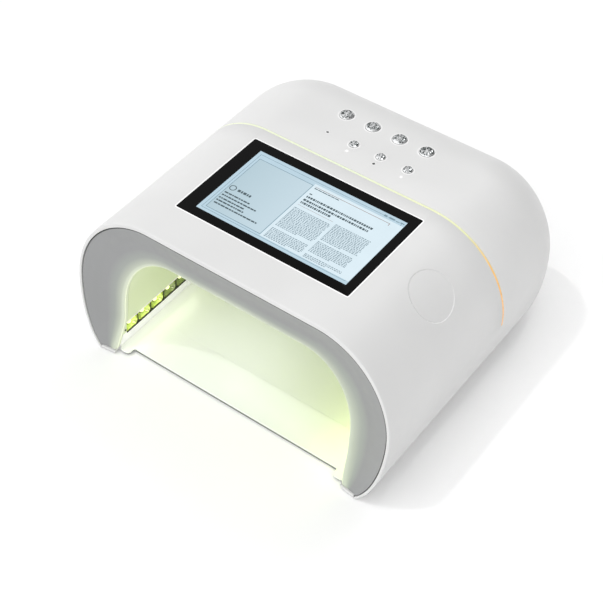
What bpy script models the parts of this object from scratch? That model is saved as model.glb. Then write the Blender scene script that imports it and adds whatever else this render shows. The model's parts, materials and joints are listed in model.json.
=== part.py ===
"""UV curing lamp: an arched housing over a lit chamber, with a slide-out base plate, a touch display,
push buttons and a thin light line.

The origin is the centre of the lamp's footprint on the floor. The opening faces -Y, +X is to the
right when facing the opening, and +Z is up. Lengths below are in millimetres; MM turns them into
metres where a mesh is made.
"""

import math

import bmesh
import bpy
from mathutils import Matrix, Vector

MM = 0.001

# Driving dimensions of the housing
WIDTH = 250.0
DEPTH = 235.0
SHELL_TOP = 121.5
SHELL_WALL = 2.4
SHELL_FOOT = 0.6
FRONT = -DEPTH / 2
REAR = DEPTH / 2
FRONT_LEAN = 0.125
REAR_ROUND = 50.0
GAP = 0.3

# Outline of the arch: widest at the waist, tucked in towards the floor, flat on top
WAIST = 56.8
LOWER_ARC = 60.9
SHELL_TUCK = 28.2
SHELL_FLAT = 65.3

# Hand chamber
MOUTH_HALF_WIDTH = 92.0
MOUTH_TOP = 90.5
MOUTH_FLAT = 52.0
MOUTH_WAIST = 42.0
MOUTH_FLARE = 10.9
MOUTH_DEPTH = 8.0
MOUTH_DEPTH_AT_FLOOR = 3.0
LIP_LENGTH = 4.0
LINER_WALL = 1.8
CHAMBER_END = FRONT + 187.0
CHAMBER_ROUND = 22.0
FLOOR_CURVE_HEIGHT = 30.0
SENSOR_Y = FRONT + 34.0
SENSOR_HALF_WIDTH = 7.0
SENSOR_HALF_LENGTH = 4.0

# Light line
LINE_Y = FRONT + 138.4
LINE_WIDTH = 1.4
LINE_LOW = 52.0

# Touch display
GLASS_WIDTH = 133.3
GLASS_LENGTH = 81.8
GLASS_THICKNESS = 1.8
GLASS_CENTRE_Y = FRONT + 85.6
GLASS_PROUD = 0.2

# Push buttons
BUTTON_PITCH = 21.5
LARGE_ROW_Y = FRONT + 183.2
SMALL_ROW_Y = FRONT + 160.9
DOT_ROW_Y = FRONT + 152.7
LARGE_RADIUS = 5.45
SMALL_RADIUS = 3.65
BUTTON_RISE = 1.7
BUTTON_TRAVEL = 1.0
BUTTON_CLEARANCE = 0.35
DOT_RADIUS = 0.85
MAT_TOP = 115.9

# Side windows and their LED rows
WINDOW_LOW = 12.5
WINDOW_HIGH = 21.5
WINDOW_START = FRONT + 13.5
LED_PITCH = 13.5
SIDE_LED_COUNT = 10
SIDE_LED_RADIUS = 3.3
LED_INSET = 5.5
LED_END = 6.0
TOP_LED_RADIUS = 3.4
TOP_LED_SPACING = 26.0
TOP_LED_START = FRONT + 60.0
TOP_LED_PITCH = 36.0
DOME_SIDES = 8

# Base plate, or tray
TRAY_HALF_WIDTH = 94.0
TRAY_BOTTOM = 0.5
TRAY_TOP = 3.3
TRAY_FRONT = FRONT + 11.5
TRAY_REAR = CHAMBER_END - 1.5
TAB_FRONT = FRONT + 5.2
TAB_INNER = 85.6
TAB_ROUND = 3.0
TRAY_CORNER = 24.0
TRAY_LINE_Y = FRONT + 41.8
TRAY_LINE_REACH = 74.0
CATCH_X = 40.0

# Base frame and feet
FRAME_BOTTOM = 1.5
FRAME_TOP = 4.2
FRAME_FRONT = FRONT + 9.5
FOOT_THICKNESS = 1.2
FOOT_FRONT_Y = FRONT + 30.0
FOOT_REAR_X = 78.0
FOOT_REAR_Y = FRONT + 203.0
BASE_SCREW_X = 62.0

# Rear panel
PANEL_OVERLAP = 10.0
PANEL_FACE = REAR - 4.5
PANEL_THICKNESS = 2.5
PANEL_FOOT = 5.0
VENT_COUNT = 9
VENT_PITCH = 8.0
VENT_WIDTH = 3.0
VENT_LOW = 34.0
VENT_HIGH = 60.0
INLET_X = 45.0
INLET_Z = 20.0
INLET_OUTER = 5.3
INLET_BORE = 3.2
SCREW_HEAD = 2.8
SCREW_SHAFT = 1.4
SCREW_CLEARANCE = 0.3
SCREW_LENGTH = 9.0
LOW_SCREW_Z = 22.0
SCREW_OUTSET = 5.5

MATERIALS = {
    "shell_white": ((0.86, 0.86, 0.85), 0.38, 0.0),
    "fascia_grey": ((0.40, 0.41, 0.41), 0.45, 0.0),
    "liner_white": ((0.85, 0.90, 0.76), 0.35, 0.0),
    "tray_white": ((0.93, 0.95, 0.84), 0.30, 0.0),
    "glass_black": ((0.02, 0.02, 0.02), 0.08, 0.0),
    "lcd_blue": ((0.55, 0.70, 0.78), 0.25, 0.0),
    "button_chrome": ((0.80, 0.81, 0.83), 0.12, 1.0),
    "light_guide": ((0.86, 0.88, 0.45), 0.25, 0.0),
    "led_lens": ((0.85, 0.90, 0.45), 0.15, 0.0),
    "circuit_green": ((0.03, 0.20, 0.10), 0.50, 0.0),
    "black_plastic": ((0.03, 0.03, 0.03), 0.50, 0.0),
    "rubber_grey": ((0.20, 0.20, 0.20), 0.85, 0.0),
    "steel": ((0.60, 0.60, 0.62), 0.30, 1.0),
}


class Arch:
    """Outline across the lamp: an arc up to the waist, an elliptical shoulder and a flat crown."""

    def __init__(self, half_width, top, flat, tuck, waist=WAIST):
        self.half_width = half_width
        self.top = top
        self.flat = flat
        self.tuck = tuck
        self.waist = waist

    def inset(self, distance):
        return Arch(self.half_width - distance, self.top - distance, self.flat, self.tuck, self.waist)

    def side_x(self, z):
        """Half width at a height below the waist."""
        share = (self.waist - z) / LOWER_ARC
        return self.half_width - self.tuck * (1 - math.sqrt(1 - share * share))

    def points(self, foot, lower_steps=5, shoulder_steps=9):
        """(x, z) from the left foot over the crown to the right foot."""
        half = []
        for step in range(lower_steps):
            z = foot + (self.waist - foot) * step / lower_steps
            half.append((self.side_x(z), z))
        for step in range(shoulder_steps + 1):
            angle = math.pi / 2 * step / shoulder_steps
            x = self.flat + (self.half_width - self.flat) * math.cos(angle)
            z = self.waist + (self.top - self.waist) * math.sin(angle)
            half.append((x, z))
        return [(-x, z) for x, z in half] + [(x, z) for x, z in reversed(half)]


SHELL_ARCH = Arch(WIDTH / 2, SHELL_TOP, SHELL_FLAT, SHELL_TUCK)
REAR_ARCH = Arch(WIDTH / 2 - REAR_ROUND, SHELL_TOP - REAR_ROUND, SHELL_FLAT, 12.5)
MOUTH_ARCH = Arch(MOUTH_HALF_WIDTH, MOUTH_TOP, MOUTH_FLAT, -MOUTH_FLARE, MOUTH_WAIST)


def remove_all_objects():
    for item in list(bpy.data.objects):
        bpy.data.objects.remove(item, do_unlink=True)


def make_materials():
    made = {}
    for name, (colour, roughness, metallic) in MATERIALS.items():
        material = bpy.data.materials.new(name)
        material.use_nodes = True
        shader = material.node_tree.nodes["Principled BSDF"]
        shader.inputs["Base Color"].default_value = (*colour, 1.0)
        shader.inputs["Roughness"].default_value = roughness
        shader.inputs["Metallic"].default_value = metallic
        made[name] = material
    return made


def link(name, mesh, material=None):
    item = bpy.data.objects.new(name, mesh)
    bpy.context.scene.collection.objects.link(item)
    if material is not None:
        mesh.materials.append(material)
    return item


def from_bmesh(name, shape, material=None, smooth=False, origin=None):
    """Turns a bmesh in millimetres into an object in metres, with its origin at a point in millimetres."""
    start = Vector(origin) if origin else Vector((0, 0, 0))
    bmesh.ops.translate(shape, verts=shape.verts, vec=-start)
    bmesh.ops.scale(shape, verts=shape.verts, vec=(MM, MM, MM))
    bmesh.ops.recalc_face_normals(shape, faces=shape.faces)
    mesh = bpy.data.meshes.new(name)
    shape.to_mesh(mesh)
    shape.free()
    if smooth:
        mesh.shade_smooth()
        mesh.set_sharp_from_angle(angle=math.radians(40))
    item = link(name, mesh, material)
    item.location = start * MM
    return item


def as_cutter(item):
    item.hide_render = True
    item.display_type = "WIRE"
    return item


def boolean(item, other, operation="DIFFERENCE"):
    modifier = item.modifiers.new(operation.title(), "BOOLEAN")
    modifier.operation = operation
    modifier.solver = "EXACT"
    modifier.object = as_cutter(other)
    return item


def add_grid(shape, rows):
    """Quads between rows of points; returns the rows of vertices."""
    grid = [[shape.verts.new(point) for point in row] for row in rows]
    for low, high in zip(grid, grid[1:]):
        for j in range(len(low) - 1):
            shape.faces.new((low[j], low[j + 1], high[j + 1], high[j]))
    return grid


def sheet_solid(name, outer, inner, material=None, smooth=True):
    """A bent sheet with thickness: two grids of the same size, joined along their four edges."""
    shape = bmesh.new()
    out = add_grid(shape, outer)
    ins = add_grid(shape, inner)
    columns = len(out[0])
    for row_out, row_in in ((out[0], ins[0]), (out[-1], ins[-1])):
        for j in range(columns - 1):
            shape.faces.new((row_out[j], row_out[j + 1], row_in[j + 1], row_in[j]))
    for j in (0, columns - 1):
        for i in range(len(out) - 1):
            shape.faces.new((out[i][j], out[i + 1][j], ins[i + 1][j], ins[i][j]))
    return from_bmesh(name, shape, material, smooth)


def add_box(shape, low, high):
    size = [b - a for a, b in zip(low, high)]
    centre = [(a + b) / 2 for a, b in zip(low, high)]
    matrix = Matrix.Translation(centre) @ Matrix.Diagonal((*size, 1.0))
    bmesh.ops.create_cube(shape, size=1.0, matrix=matrix)


def box_object(name, low, high, material=None):
    shape = bmesh.new()
    add_box(shape, low, high)
    return from_bmesh(name, shape, material)


def boxes_object(name, boxes):
    """Several separate boxes in one object, used to cut or to add."""
    shape = bmesh.new()
    for low, high in boxes:
        add_box(shape, low, high)
    return from_bmesh(name, shape)


def rounded_outline(half_x, half_y, radius, steps=4):
    """Corners of a rounded rectangle, counter-clockwise."""
    points = []
    for corner in range(4):
        sign_x = 1 if corner in (0, 3) else -1
        sign_y = 1 if corner in (0, 1) else -1
        centre = (sign_x * (half_x - radius), sign_y * (half_y - radius))
        for step in range(steps + 1):
            angle = math.pi / 2 * (corner + step / steps)
            x = centre[0] + radius * math.cos(angle)
            y = centre[1] + radius * math.sin(angle)
            points.append((x, y))
    return points


def add_prism(shape, outline, low, high, place):
    """Extrudes a closed outline from low to high; place turns (u, v, w) into (x, y, z)."""
    bottom = [shape.verts.new(place(u, v, low)) for u, v in outline]
    top = [shape.verts.new(place(u, v, high)) for u, v in outline]
    count = len(outline)
    for i in range(count):
        j = (i + 1) % count
        shape.faces.new((bottom[i], bottom[j], top[j], top[i]))
    shape.faces.new(list(reversed(bottom)))
    shape.faces.new(top)


def upright(u, v, w):
    return (u, v, w)


def facing_rear(u, v, w):
    return (u, w, v)


def plate(name, outline, low, high, material=None, place=upright, centre=(0.0, 0.0)):
    shape = bmesh.new()
    moved = [(u + centre[0], v + centre[1]) for u, v in outline]
    add_prism(shape, moved, low, high, place)
    return from_bmesh(name, shape, material)


def circle(radius, segments):
    turns = [2 * math.pi * i / segments for i in range(segments)]
    return [(radius * math.cos(a), radius * math.sin(a)) for a in turns]


def rods(name, places, radius, low, high, segments=16, place=upright):
    """Separate round rods in one object, used as cutters."""
    shape = bmesh.new()
    for u, v in places:
        outline = [(u + a, v + b) for a, b in circle(radius, segments)]
        add_prism(shape, outline, low, high, place)
    return from_bmesh(name, shape)


def add_turned(shape, profile, segments, place):
    """Spins (radius, height) pairs about an axis; the first and last pair lie on the axis."""
    rings = []
    for radius, height in profile:
        if radius == 0:
            rings.append([shape.verts.new(place(0.0, 0.0, height))])
        else:
            rings.append([shape.verts.new(place(a, b, height)) for a, b in circle(radius, segments)])
    for low, high in zip(rings, rings[1:]):
        for i in range(segments):
            j = (i + 1) % segments
            corners = (low[i % len(low)], low[j % len(low)], high[j % len(high)], high[i % len(high)])
            shape.faces.new(list(dict.fromkeys(corners)))


def turned(name, profile, segments, material, place, origin=None):
    shape = bmesh.new()
    add_turned(shape, profile, segments, place)
    return from_bmesh(name, shape, material, smooth=True, origin=origin)


def blend_points(first, second, share):
    return [(a + (c - a) * share, b + (d - b) * share) for (a, b), (c, d) in zip(first, second)]


def front_y(z):
    """The front plane leans back as it rises from the shell's foot."""
    return FRONT + FRONT_LEAN * (z - SHELL_FOOT)


def leaning_row(points):
    return [(x, front_y(z), z) for x, z in points]


def vertical_row(points, y):
    return [(x, y, z) for x, z in points]


def rounded_end_rows(wide, narrow, start, radius, steps):
    """Rows of a wall that rounds over to face the rear, from the wide outline to the narrow one."""
    rows = []
    for step in range(steps + 1):
        angle = math.pi / 2 * step / steps
        points = blend_points(wide, narrow, 1 - math.cos(angle))
        rows.append(vertical_row(points, start + radius * math.sin(angle)))
    return rows


def floor_curve(z):
    """0 at the floor, 1 from FLOOR_CURVE_HEIGHT up, smooth between."""
    share = min(max(z / FLOOR_CURVE_HEIGHT, 0.0), 1.0)
    return share * share * (3 - 2 * share)


# Housing


def line_band(name, outer_inset, inner_inset, low, width, material=None):
    """An arch-shaped band around the shell at the light line."""
    outer = SHELL_ARCH.inset(outer_inset).points(low)
    inner = SHELL_ARCH.inset(inner_inset).points(low)
    front = LINE_Y - width / 2
    back = LINE_Y + width / 2
    return sheet_solid(
        name,
        [vertical_row(outer, front), vertical_row(outer, back)],
        [vertical_row(inner, front), vertical_row(inner, back)],
        material,
    )


def button_places(row_y, first):
    return [((i - 1.5) * BUTTON_PITCH, row_y) for i in range(first, 4)]


def rear_screw_places():
    side = REAR_ARCH.side_x(LOW_SCREW_Z) + SCREW_OUTSET
    reach_x = REAR_ARCH.half_width - REAR_ARCH.flat + SCREW_OUTSET
    reach_z = REAR_ARCH.top - WAIST + SCREW_OUTSET
    corner_x = REAR_ARCH.flat + reach_x * math.cos(math.pi / 4)
    corner_z = WAIST + reach_z * math.sin(math.pi / 4)
    return [(-side, LOW_SCREW_Z), (side, LOW_SCREW_Z), (-corner_x, corner_z), (corner_x, corner_z)]


def make_outer_shell(material):
    outline = SHELL_ARCH.points(SHELL_FOOT)
    inner_outline = SHELL_ARCH.inset(SHELL_WALL).points(SHELL_FOOT)
    rear_outline = REAR_ARCH.points(SHELL_FOOT)
    start = REAR - REAR_ROUND
    outer = [leaning_row(outline)]
    outer += rounded_end_rows(outline, rear_outline, start, REAR_ROUND, 7)
    inner = [leaning_row(inner_outline)]
    inner += rounded_end_rows(inner_outline, rear_outline, start, REAR_ROUND - SHELL_WALL, 7)
    shell = sheet_solid("outer_shell", outer, inner, material)

    hole_low = SHELL_TOP - 8.0
    hole_high = SHELL_TOP + 2.0
    edge = 0.35
    opening = rounded_outline(GLASS_WIDTH / 2 + edge, GLASS_LENGTH / 2 + edge, 1.0, 2)
    boolean(shell, plate("cut_display", opening, hole_low, hole_high, centre=(0, GLASS_CENTRE_Y)))
    large_hole = LARGE_RADIUS + BUTTON_CLEARANCE
    small_hole = SMALL_RADIUS + BUTTON_CLEARANCE
    dot_hole = DOT_RADIUS + 0.2
    dots = button_places(DOT_ROW_Y, 1) + button_places(SMALL_ROW_Y, 0)[:1]
    boolean(shell, rods("cut_large", button_places(LARGE_ROW_Y, 0), large_hole, hole_low, hole_high, 24))
    boolean(shell, rods("cut_small", button_places(SMALL_ROW_Y, 1), small_hole, hole_low, hole_high, 20))
    boolean(shell, rods("cut_dots", dots, dot_hole, hole_low, hole_high, 10))
    boolean(shell, line_band("cut_line", -2.0, SHELL_WALL + 2.0, LINE_LOW, LINE_WIDTH + 2 * GAP))
    places = rear_screw_places()
    head_hole = SCREW_HEAD + SCREW_CLEARANCE
    shaft_hole = SCREW_SHAFT + SCREW_CLEARANCE
    boolean(shell, rods("cut_heads", places, head_hole, REAR - 2.2, REAR + 2, 14, facing_rear))
    boolean(shell, rods("cut_shafts", places, shaft_hole, REAR - 8, REAR + 2, 12, facing_rear))


def make_light_guide(materials):
    guide = materials["light_guide"]
    board = materials["circuit_green"]
    line_band("light_guide", 0.1, SHELL_WALL + 2.0, LINE_LOW + GAP, LINE_WIDTH, guide)
    line_band("light_line_board", SHELL_WALL + 2.4, SHELL_WALL + 3.4, LINE_LOW, 7.0, board)


def fascia_section(width, depth):
    """(distance inwards, distance back) of the surround's face and of its back, from rim to lip."""
    rim = 0.7
    fall = depth - rim
    face = [
        (0.0, rim),
        (0.22 * width, rim + 0.30 * fall),
        (0.45 * width, rim + 0.60 * fall),
        (width - 4.4, rim + 0.93 * fall),
        (width - 2.0, depth),
        (width - 0.5, depth + 0.9),
        (width, depth + 2.2),
        (width, depth + LIP_LENGTH),
    ]
    wall = LINER_WALL
    back = [
        (0.0, rim + wall),
        (0.22 * width, rim + 0.30 * fall + wall),
        (0.45 * width, rim + 0.60 * fall + wall),
        (width - 4.9, rim + 0.93 * fall + wall),
        (width - 3.2, depth + 1.9),
        (width - 2.2, depth + 2.4),
        (width - wall, depth + 3.0),
        (width - wall, depth + LIP_LENGTH),
    ]
    return face, back


def mouth_depth(z):
    return MOUTH_DEPTH_AT_FLOOR + (MOUTH_DEPTH - MOUTH_DEPTH_AT_FLOOR) * floor_curve(z)


def make_front_fascia(material):
    rim = SHELL_ARCH.inset(SHELL_WALL + 0.4).points(SHELL_FOOT)
    mouth = MOUTH_ARCH.points(SHELL_FOOT)
    columns = []
    for start, end in zip(rim, mouth):
        width = math.hypot(end[0] - start[0], end[1] - start[1])
        face, back = fascia_section(width, mouth_depth(end[1]))
        columns.append((start, end, width, face, back))

    def row(index, side):
        points = []
        for start, end, width, *sections in columns:
            inwards, backwards = sections[side][index]
            share = inwards / width
            x = start[0] + (end[0] - start[0]) * share
            z = start[1] + (end[1] - start[1]) * share
            points.append((x, front_y(z) + backwards, z))
        return points

    count = len(columns[0][3])
    face_rows = [row(i, 0) for i in range(count)]
    back_rows = [row(i, 1) for i in range(count)]
    sheet_solid("front_fascia", back_rows, face_rows, material)


# Chamber


def side_led_places():
    first = WINDOW_START + LED_INSET
    return [first + LED_PITCH * i for i in range(SIDE_LED_COUNT)]


def top_led_places():
    xs = [TOP_LED_SPACING * (i - 2) for i in range(5)]
    ys = [TOP_LED_START + TOP_LED_PITCH * i for i in range(3)]
    return [(x, y) for y in ys for x in xs]


def shortened(points):
    """The same line of points, with half a gap taken off each end that isn't at the floor."""
    trimmed = [Vector(point) for point in points]
    for end, neighbour in ((0, 1), (-1, -2)):
        if trimmed[end].y > SHELL_FOOT + GAP:
            along = (trimmed[neighbour] - trimmed[end]).normalized()
            trimmed[end] = trimmed[end] + along * (GAP / 2)
    return [tuple(point) for point in trimmed]


def chamber_sheet(name, first, last, material):
    """A stretch of the chamber's wall, between two points of the arch, as far back as the cove."""
    mouth = shortened(MOUTH_ARCH.points(SHELL_FOOT)[first:last])
    outside = shortened(MOUTH_ARCH.inset(-LINER_WALL).points(SHELL_FOOT)[first:last])
    back = CHAMBER_END - CHAMBER_ROUND - GAP
    front = [front_y(z) + mouth_depth(z) + LIP_LENGTH + GAP for _, z in mouth]
    inner = [[(x, y, z) for (x, z), y in zip(mouth, front)], vertical_row(mouth, back)]
    outer = [[(x, y, z) for (x, z), y in zip(outside, front)], vertical_row(outside, back)]
    return sheet_solid(name, outer, inner, material)


def make_chamber_walls(material):
    """Two side walls with windows and a roof with holes for its emitters, split on the shoulders."""
    count = len(MOUTH_ARCH.points(SHELL_FOOT))
    wall_points = 10
    left = chamber_sheet("chamber_wall_left", 0, wall_points, material)
    right = chamber_sheet("chamber_wall_right", count - wall_points, count, material)
    window_end = side_led_places()[-1] + LED_END
    reach = MOUTH_HALF_WIDTH + 8.0
    inside = MOUTH_HALF_WIDTH - 8.0
    for wall, sign in ((left, -1), (right, 1)):
        low_x, high_x = sorted((sign * inside, sign * reach))
        window = box_object(f"cut_{wall.name}", (low_x, WINDOW_START, WINDOW_LOW),
                            (high_x, window_end, WINDOW_HIGH))
        boolean(wall, window)

    roof = chamber_sheet("chamber_roof", wall_points - 1, count - wall_points + 1, material)
    low = MOUTH_TOP - 3
    high = MOUTH_TOP + 4
    boolean(roof, rods("cut_top_leds", top_led_places(), TOP_LED_RADIUS + 0.5, low, high, 12))
    sensor = rounded_outline(SENSOR_HALF_WIDTH + 0.4, SENSOR_HALF_LENGTH + 0.4, 1.5, 2)
    boolean(roof, plate("cut_sensor", sensor, low, high, centre=(0, SENSOR_Y)))


def make_chamber_cove(material):
    """The rounded turn from the walls and the roof to the back of the chamber."""
    end = MOUTH_ARCH.inset(CHAMBER_ROUND).points(SHELL_FOOT)
    mouth = MOUTH_ARCH.points(SHELL_FOOT)
    outside = MOUTH_ARCH.inset(-LINER_WALL).points(SHELL_FOOT)
    start = CHAMBER_END - CHAMBER_ROUND
    inner = rounded_end_rows(mouth, end, start, CHAMBER_ROUND, 3)
    outer = rounded_end_rows(outside, end, start, CHAMBER_ROUND + LINER_WALL, 3)
    sheet_solid("chamber_cove", outer, inner, material)


def make_chamber_back(material):
    outline = MOUTH_ARCH.inset(CHAMBER_ROUND - 6.0).points(SHELL_FOOT + 4.4, 2, 6)
    low = CHAMBER_END + LINER_WALL + GAP
    plate("chamber_back", outline, low, low + LINER_WALL, material, facing_rear)


def make_hand_sensor(material):
    outline = rounded_outline(SENSOR_HALF_WIDTH, SENSOR_HALF_LENGTH, 1.3, 2)
    plate("hand_sensor_window", outline, MOUTH_TOP + 0.1, MOUTH_TOP + 1.6, material,
          centre=(0, SENSOR_Y))


def dome_profile(radius, height, base):
    """Half section of a dome that stands on a short skirt."""
    profile = [(0.0, base), (radius, base)]
    skirt = 0.35 * height
    for step in range(3):
        angle = math.pi / 2 * step / 3
        profile.append((radius * math.cos(angle), base + skirt + (height - skirt) * math.sin(angle)))
    profile.append((0.0, base + height))
    return profile


def side_place(sign, y, z):
    """Turns (u, v, w) so that w points from the wall into the chamber, about a point on the wall."""
    return lambda u, v, w: (-sign * w, y + u, z + v)


def make_side_leds(sign, side, materials):
    wall = MOUTH_ARCH.side_x((WINDOW_LOW + WINDOW_HIGH) / 2) + 3.4
    places = side_led_places()
    middle = (WINDOW_LOW + WINDOW_HIGH) / 2
    start = places[0] - 4.8
    end = places[-1] + LED_END
    low, high = sorted((sign * wall, sign * (wall + 1.0)))
    array = box_object(f"led_row_{side}", (low, start, WINDOW_LOW - 2), (high, end, WINDOW_HIGH + 2),
                       materials["led_lens"])
    shape = bmesh.new()
    for y in places:
        profile = dome_profile(SIDE_LED_RADIUS, 3.2, -wall - 0.5)
        add_turned(shape, profile, DOME_SIDES, side_place(sign, y, middle))
    boolean(array, from_bmesh(f"domes_{side}", shape), "UNION")
    low, high = sorted((sign * (wall + 1.3), sign * (wall + 2.9)))
    box_object(f"led_board_{side}", (low, start, WINDOW_LOW - 4), (high, end + 2, WINDOW_HIGH + 4),
               materials["circuit_green"])


def make_top_leds(materials):
    places = top_led_places()
    half_x = max(x for x, _ in places) + 8.0
    half_y = (places[-1][1] - places[0][1]) / 2 + 8.0
    centre = (0.0, (places[-1][1] + places[0][1]) / 2)
    base = MOUTH_TOP + LINER_WALL + 0.4
    outline = rounded_outline(half_x, half_y, 3.0, 2)
    array = plate("led_row_top", outline, base, base + 0.9, materials["led_lens"], centre=centre)
    shape = bmesh.new()
    for x, y in places:
        def below(u, v, w, x=x, y=y):
            return (x + u, y + v, base + 0.45 - w)
        add_turned(shape, dome_profile(TOP_LED_RADIUS, 2.9, 0.0), DOME_SIDES, below)
    boolean(array, from_bmesh("domes_top", shape), "UNION")
    board = rounded_outline(half_x + 3.0, half_y + 3.0, 3.0, 2)
    plate("led_board_top", board, base + 1.2, base + 2.8, materials["circuit_green"], centre=centre)


# Base


def make_base_tray(material):
    points = []
    for sign in (1, -1):
        tab = [
            (TAB_INNER - 1.6, TRAY_FRONT),
            (TAB_INNER - 0.5, TRAY_FRONT - 0.5),
            (TAB_INNER, TRAY_FRONT - 1.6),
        ]
        for step in range(5):
            angle = math.pi + math.pi / 2 * step / 4
            x = TAB_INNER + TAB_ROUND + TAB_ROUND * math.cos(angle)
            tab.append((x, TAB_FRONT + TAB_ROUND + TAB_ROUND * math.sin(angle)))
        for step in range(5):
            angle = -math.pi / 2 + math.pi / 2 * step / 4
            x = TRAY_HALF_WIDTH - TAB_ROUND + TAB_ROUND * math.cos(angle)
            tab.append((x, TAB_FRONT + TAB_ROUND + TAB_ROUND * math.sin(angle)))
        for step in range(5):
            angle = math.pi / 2 * step / 4
            x = TRAY_HALF_WIDTH - TRAY_CORNER + TRAY_CORNER * math.cos(angle)
            tab.append((x, TRAY_REAR - TRAY_CORNER + TRAY_CORNER * math.sin(angle)))
        points += [(sign * x, y) for x, y in (tab if sign == 1 else reversed(tab))]
    tray = plate("base_tray", points, TRAY_BOTTOM, TRAY_TOP, material)
    groove = box_object("cut_tray_line", (-TRAY_LINE_REACH, TRAY_LINE_Y - 0.4, TRAY_TOP - 0.4),
                        (TRAY_LINE_REACH, TRAY_LINE_Y + 0.4, TRAY_TOP + 1))
    boolean(tray, groove)
    pockets = [
        ((x - 8.3, TRAY_REAR - 12.3, TRAY_BOTTOM - 1), (x + 8.3, TRAY_REAR - 3.7, TRAY_BOTTOM + 1.4))
        for x in (-CATCH_X, CATCH_X)
    ]
    boolean(tray, boxes_object("cut_tray_pockets", pockets))


def make_tray_catches(materials):
    """A steel pad in the tray and a magnet in the base frame behind it, on each side."""
    for side, x in (("left", -CATCH_X), ("right", CATCH_X)):
        box_object(f"tray_steel_{side}", (x - 8, TRAY_REAR - 12, TRAY_BOTTOM + 0.1),
                   (x + 8, TRAY_REAR - 4, TRAY_BOTTOM + 1.1), materials["steel"])
        box_object(f"tray_magnet_{side}", (x - 6, TRAY_REAR + 3.9, FRAME_BOTTOM + 0.1),
                   (x + 6, TRAY_REAR + 8.6, FRAME_TOP - 0.1), materials["steel"])


def frame_outline():
    """Plan of the base frame: two rails joined behind the tray."""
    clear = 1.0
    rail_outer = SHELL_ARCH.inset(SHELL_WALL).side_x(FRAME_BOTTOM) - clear
    rear_corner = REAR_ARCH.side_x(FRAME_BOTTOM) - clear
    rail_inner = MOUTH_ARCH.inset(-LINER_WALL).side_x(SHELL_FOOT) + 0.5
    start = REAR - REAR_ROUND
    outer = [(rail_outer, FRAME_FRONT)]
    for step in range(5):
        angle = math.radians(17.0 * step)
        x = rail_outer + (rear_corner - rail_outer) * (1 - math.cos(angle))
        outer.append((x, start + (REAR_ROUND - SHELL_WALL - clear) * math.sin(angle)))
    inner = [(rail_inner, FRAME_FRONT)]
    inner_end = MOUTH_ARCH.inset(CHAMBER_ROUND).side_x(SHELL_FOOT)
    for step in range(5):
        angle = math.radians(22.5 * step)
        x = rail_inner + (inner_end - rail_inner) * (1 - math.cos(angle))
        y = CHAMBER_END - CHAMBER_ROUND + (CHAMBER_ROUND + LINER_WALL + 0.5) * math.sin(angle)
        inner.append((x, y))
    right = list(reversed(inner)) + outer
    left = [(-x, y) for x, y in reversed(right)]
    return right + left


def base_screw_places():
    return [(-BASE_SCREW_X, FOOT_REAR_Y), (BASE_SCREW_X, FOOT_REAR_Y)]


def make_base_frame(materials):
    frame = plate("base_frame", frame_outline(), FRAME_BOTTOM, FRAME_TOP, materials["black_plastic"])
    slots = [
        ((x - 6.3, TRAY_REAR, FRAME_BOTTOM - 1), (x + 6.3, TRAY_REAR + 9.0, FRAME_TOP + 1))
        for x in (-CATCH_X, CATCH_X)
    ]
    boolean(frame, boxes_object("cut_magnets", slots))
    shaft_hole = SCREW_SHAFT + SCREW_CLEARANCE
    boolean(frame, rods("cut_base_screws", base_screw_places(), shaft_hole, 0.0, 8.0, 12))


def make_feet(material):
    rail = (MOUTH_ARCH.inset(-LINER_WALL).side_x(SHELL_FOOT)
            + SHELL_ARCH.inset(SHELL_WALL).side_x(FRAME_BOTTOM)) / 2
    places = {
        "foot_front_left": (-rail, FOOT_FRONT_Y),
        "foot_front_right": (rail, FOOT_FRONT_Y),
        "foot_rear_left": (-FOOT_REAR_X, FOOT_REAR_Y),
        "foot_rear_right": (FOOT_REAR_X, FOOT_REAR_Y),
    }
    for name, centre in places.items():
        plate(name, rounded_outline(3.4, 8.0, 3.2, 3), 0.0, FOOT_THICKNESS, material, centre=centre)


# Display


def make_display(materials):
    top = SHELL_TOP + GLASS_PROUD
    centre = (0.0, GLASS_CENTRE_Y)
    glass = rounded_outline(GLASS_WIDTH / 2, GLASS_LENGTH / 2, 0.8, 2)
    plate("touch_glass", glass, top - GLASS_THICKNESS, top, materials["glass_black"], centre=centre)
    panel_top = top - GLASS_THICKNESS - GAP
    panel = rounded_outline(62.5, 36.5, 1.0, 2)
    plate("lcd_panel", panel, panel_top - 3.4, panel_top, materials["lcd_blue"], centre=centre)

    bracket_top = SHELL_TOP - SHELL_WALL - 0.8
    outline = rounded_outline(GLASS_WIDTH / 2 + 3.0, GLASS_LENGTH / 2 + 5.0, 3.0, 3)
    bracket = plate("display_bracket", outline, bracket_top - 1.8, bracket_top, materials["steel"],
                    centre=centre)
    window = rounded_outline(63.0, 37.0, 1.0, 2)
    boolean(bracket, plate("cut_bracket", window, bracket_top - 9, bracket_top + 9, centre=centre))

    board_top = panel_top - 3.4 - 1.0
    board = box_object("display_board", (-50, GLASS_CENTRE_Y - 30, board_top - 1.6),
                       (50, GLASS_CENTRE_Y + 30, board_top), materials["circuit_green"])
    chips = [
        ((-30, GLASS_CENTRE_Y - 12, board_top - 3.6), (-12, GLASS_CENTRE_Y + 6, board_top - 1.0)),
        ((2, GLASS_CENTRE_Y - 8, board_top - 3.0), (14, GLASS_CENTRE_Y + 4, board_top - 1.0)),
        ((-18, GLASS_CENTRE_Y + 22, board_top - 4.6), (18, GLASS_CENTRE_Y + 28, board_top - 1.0)),
    ]
    boolean(board, boxes_object("display_chips", chips), "UNION")
    return board_top - 4.6


# Buttons


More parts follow.
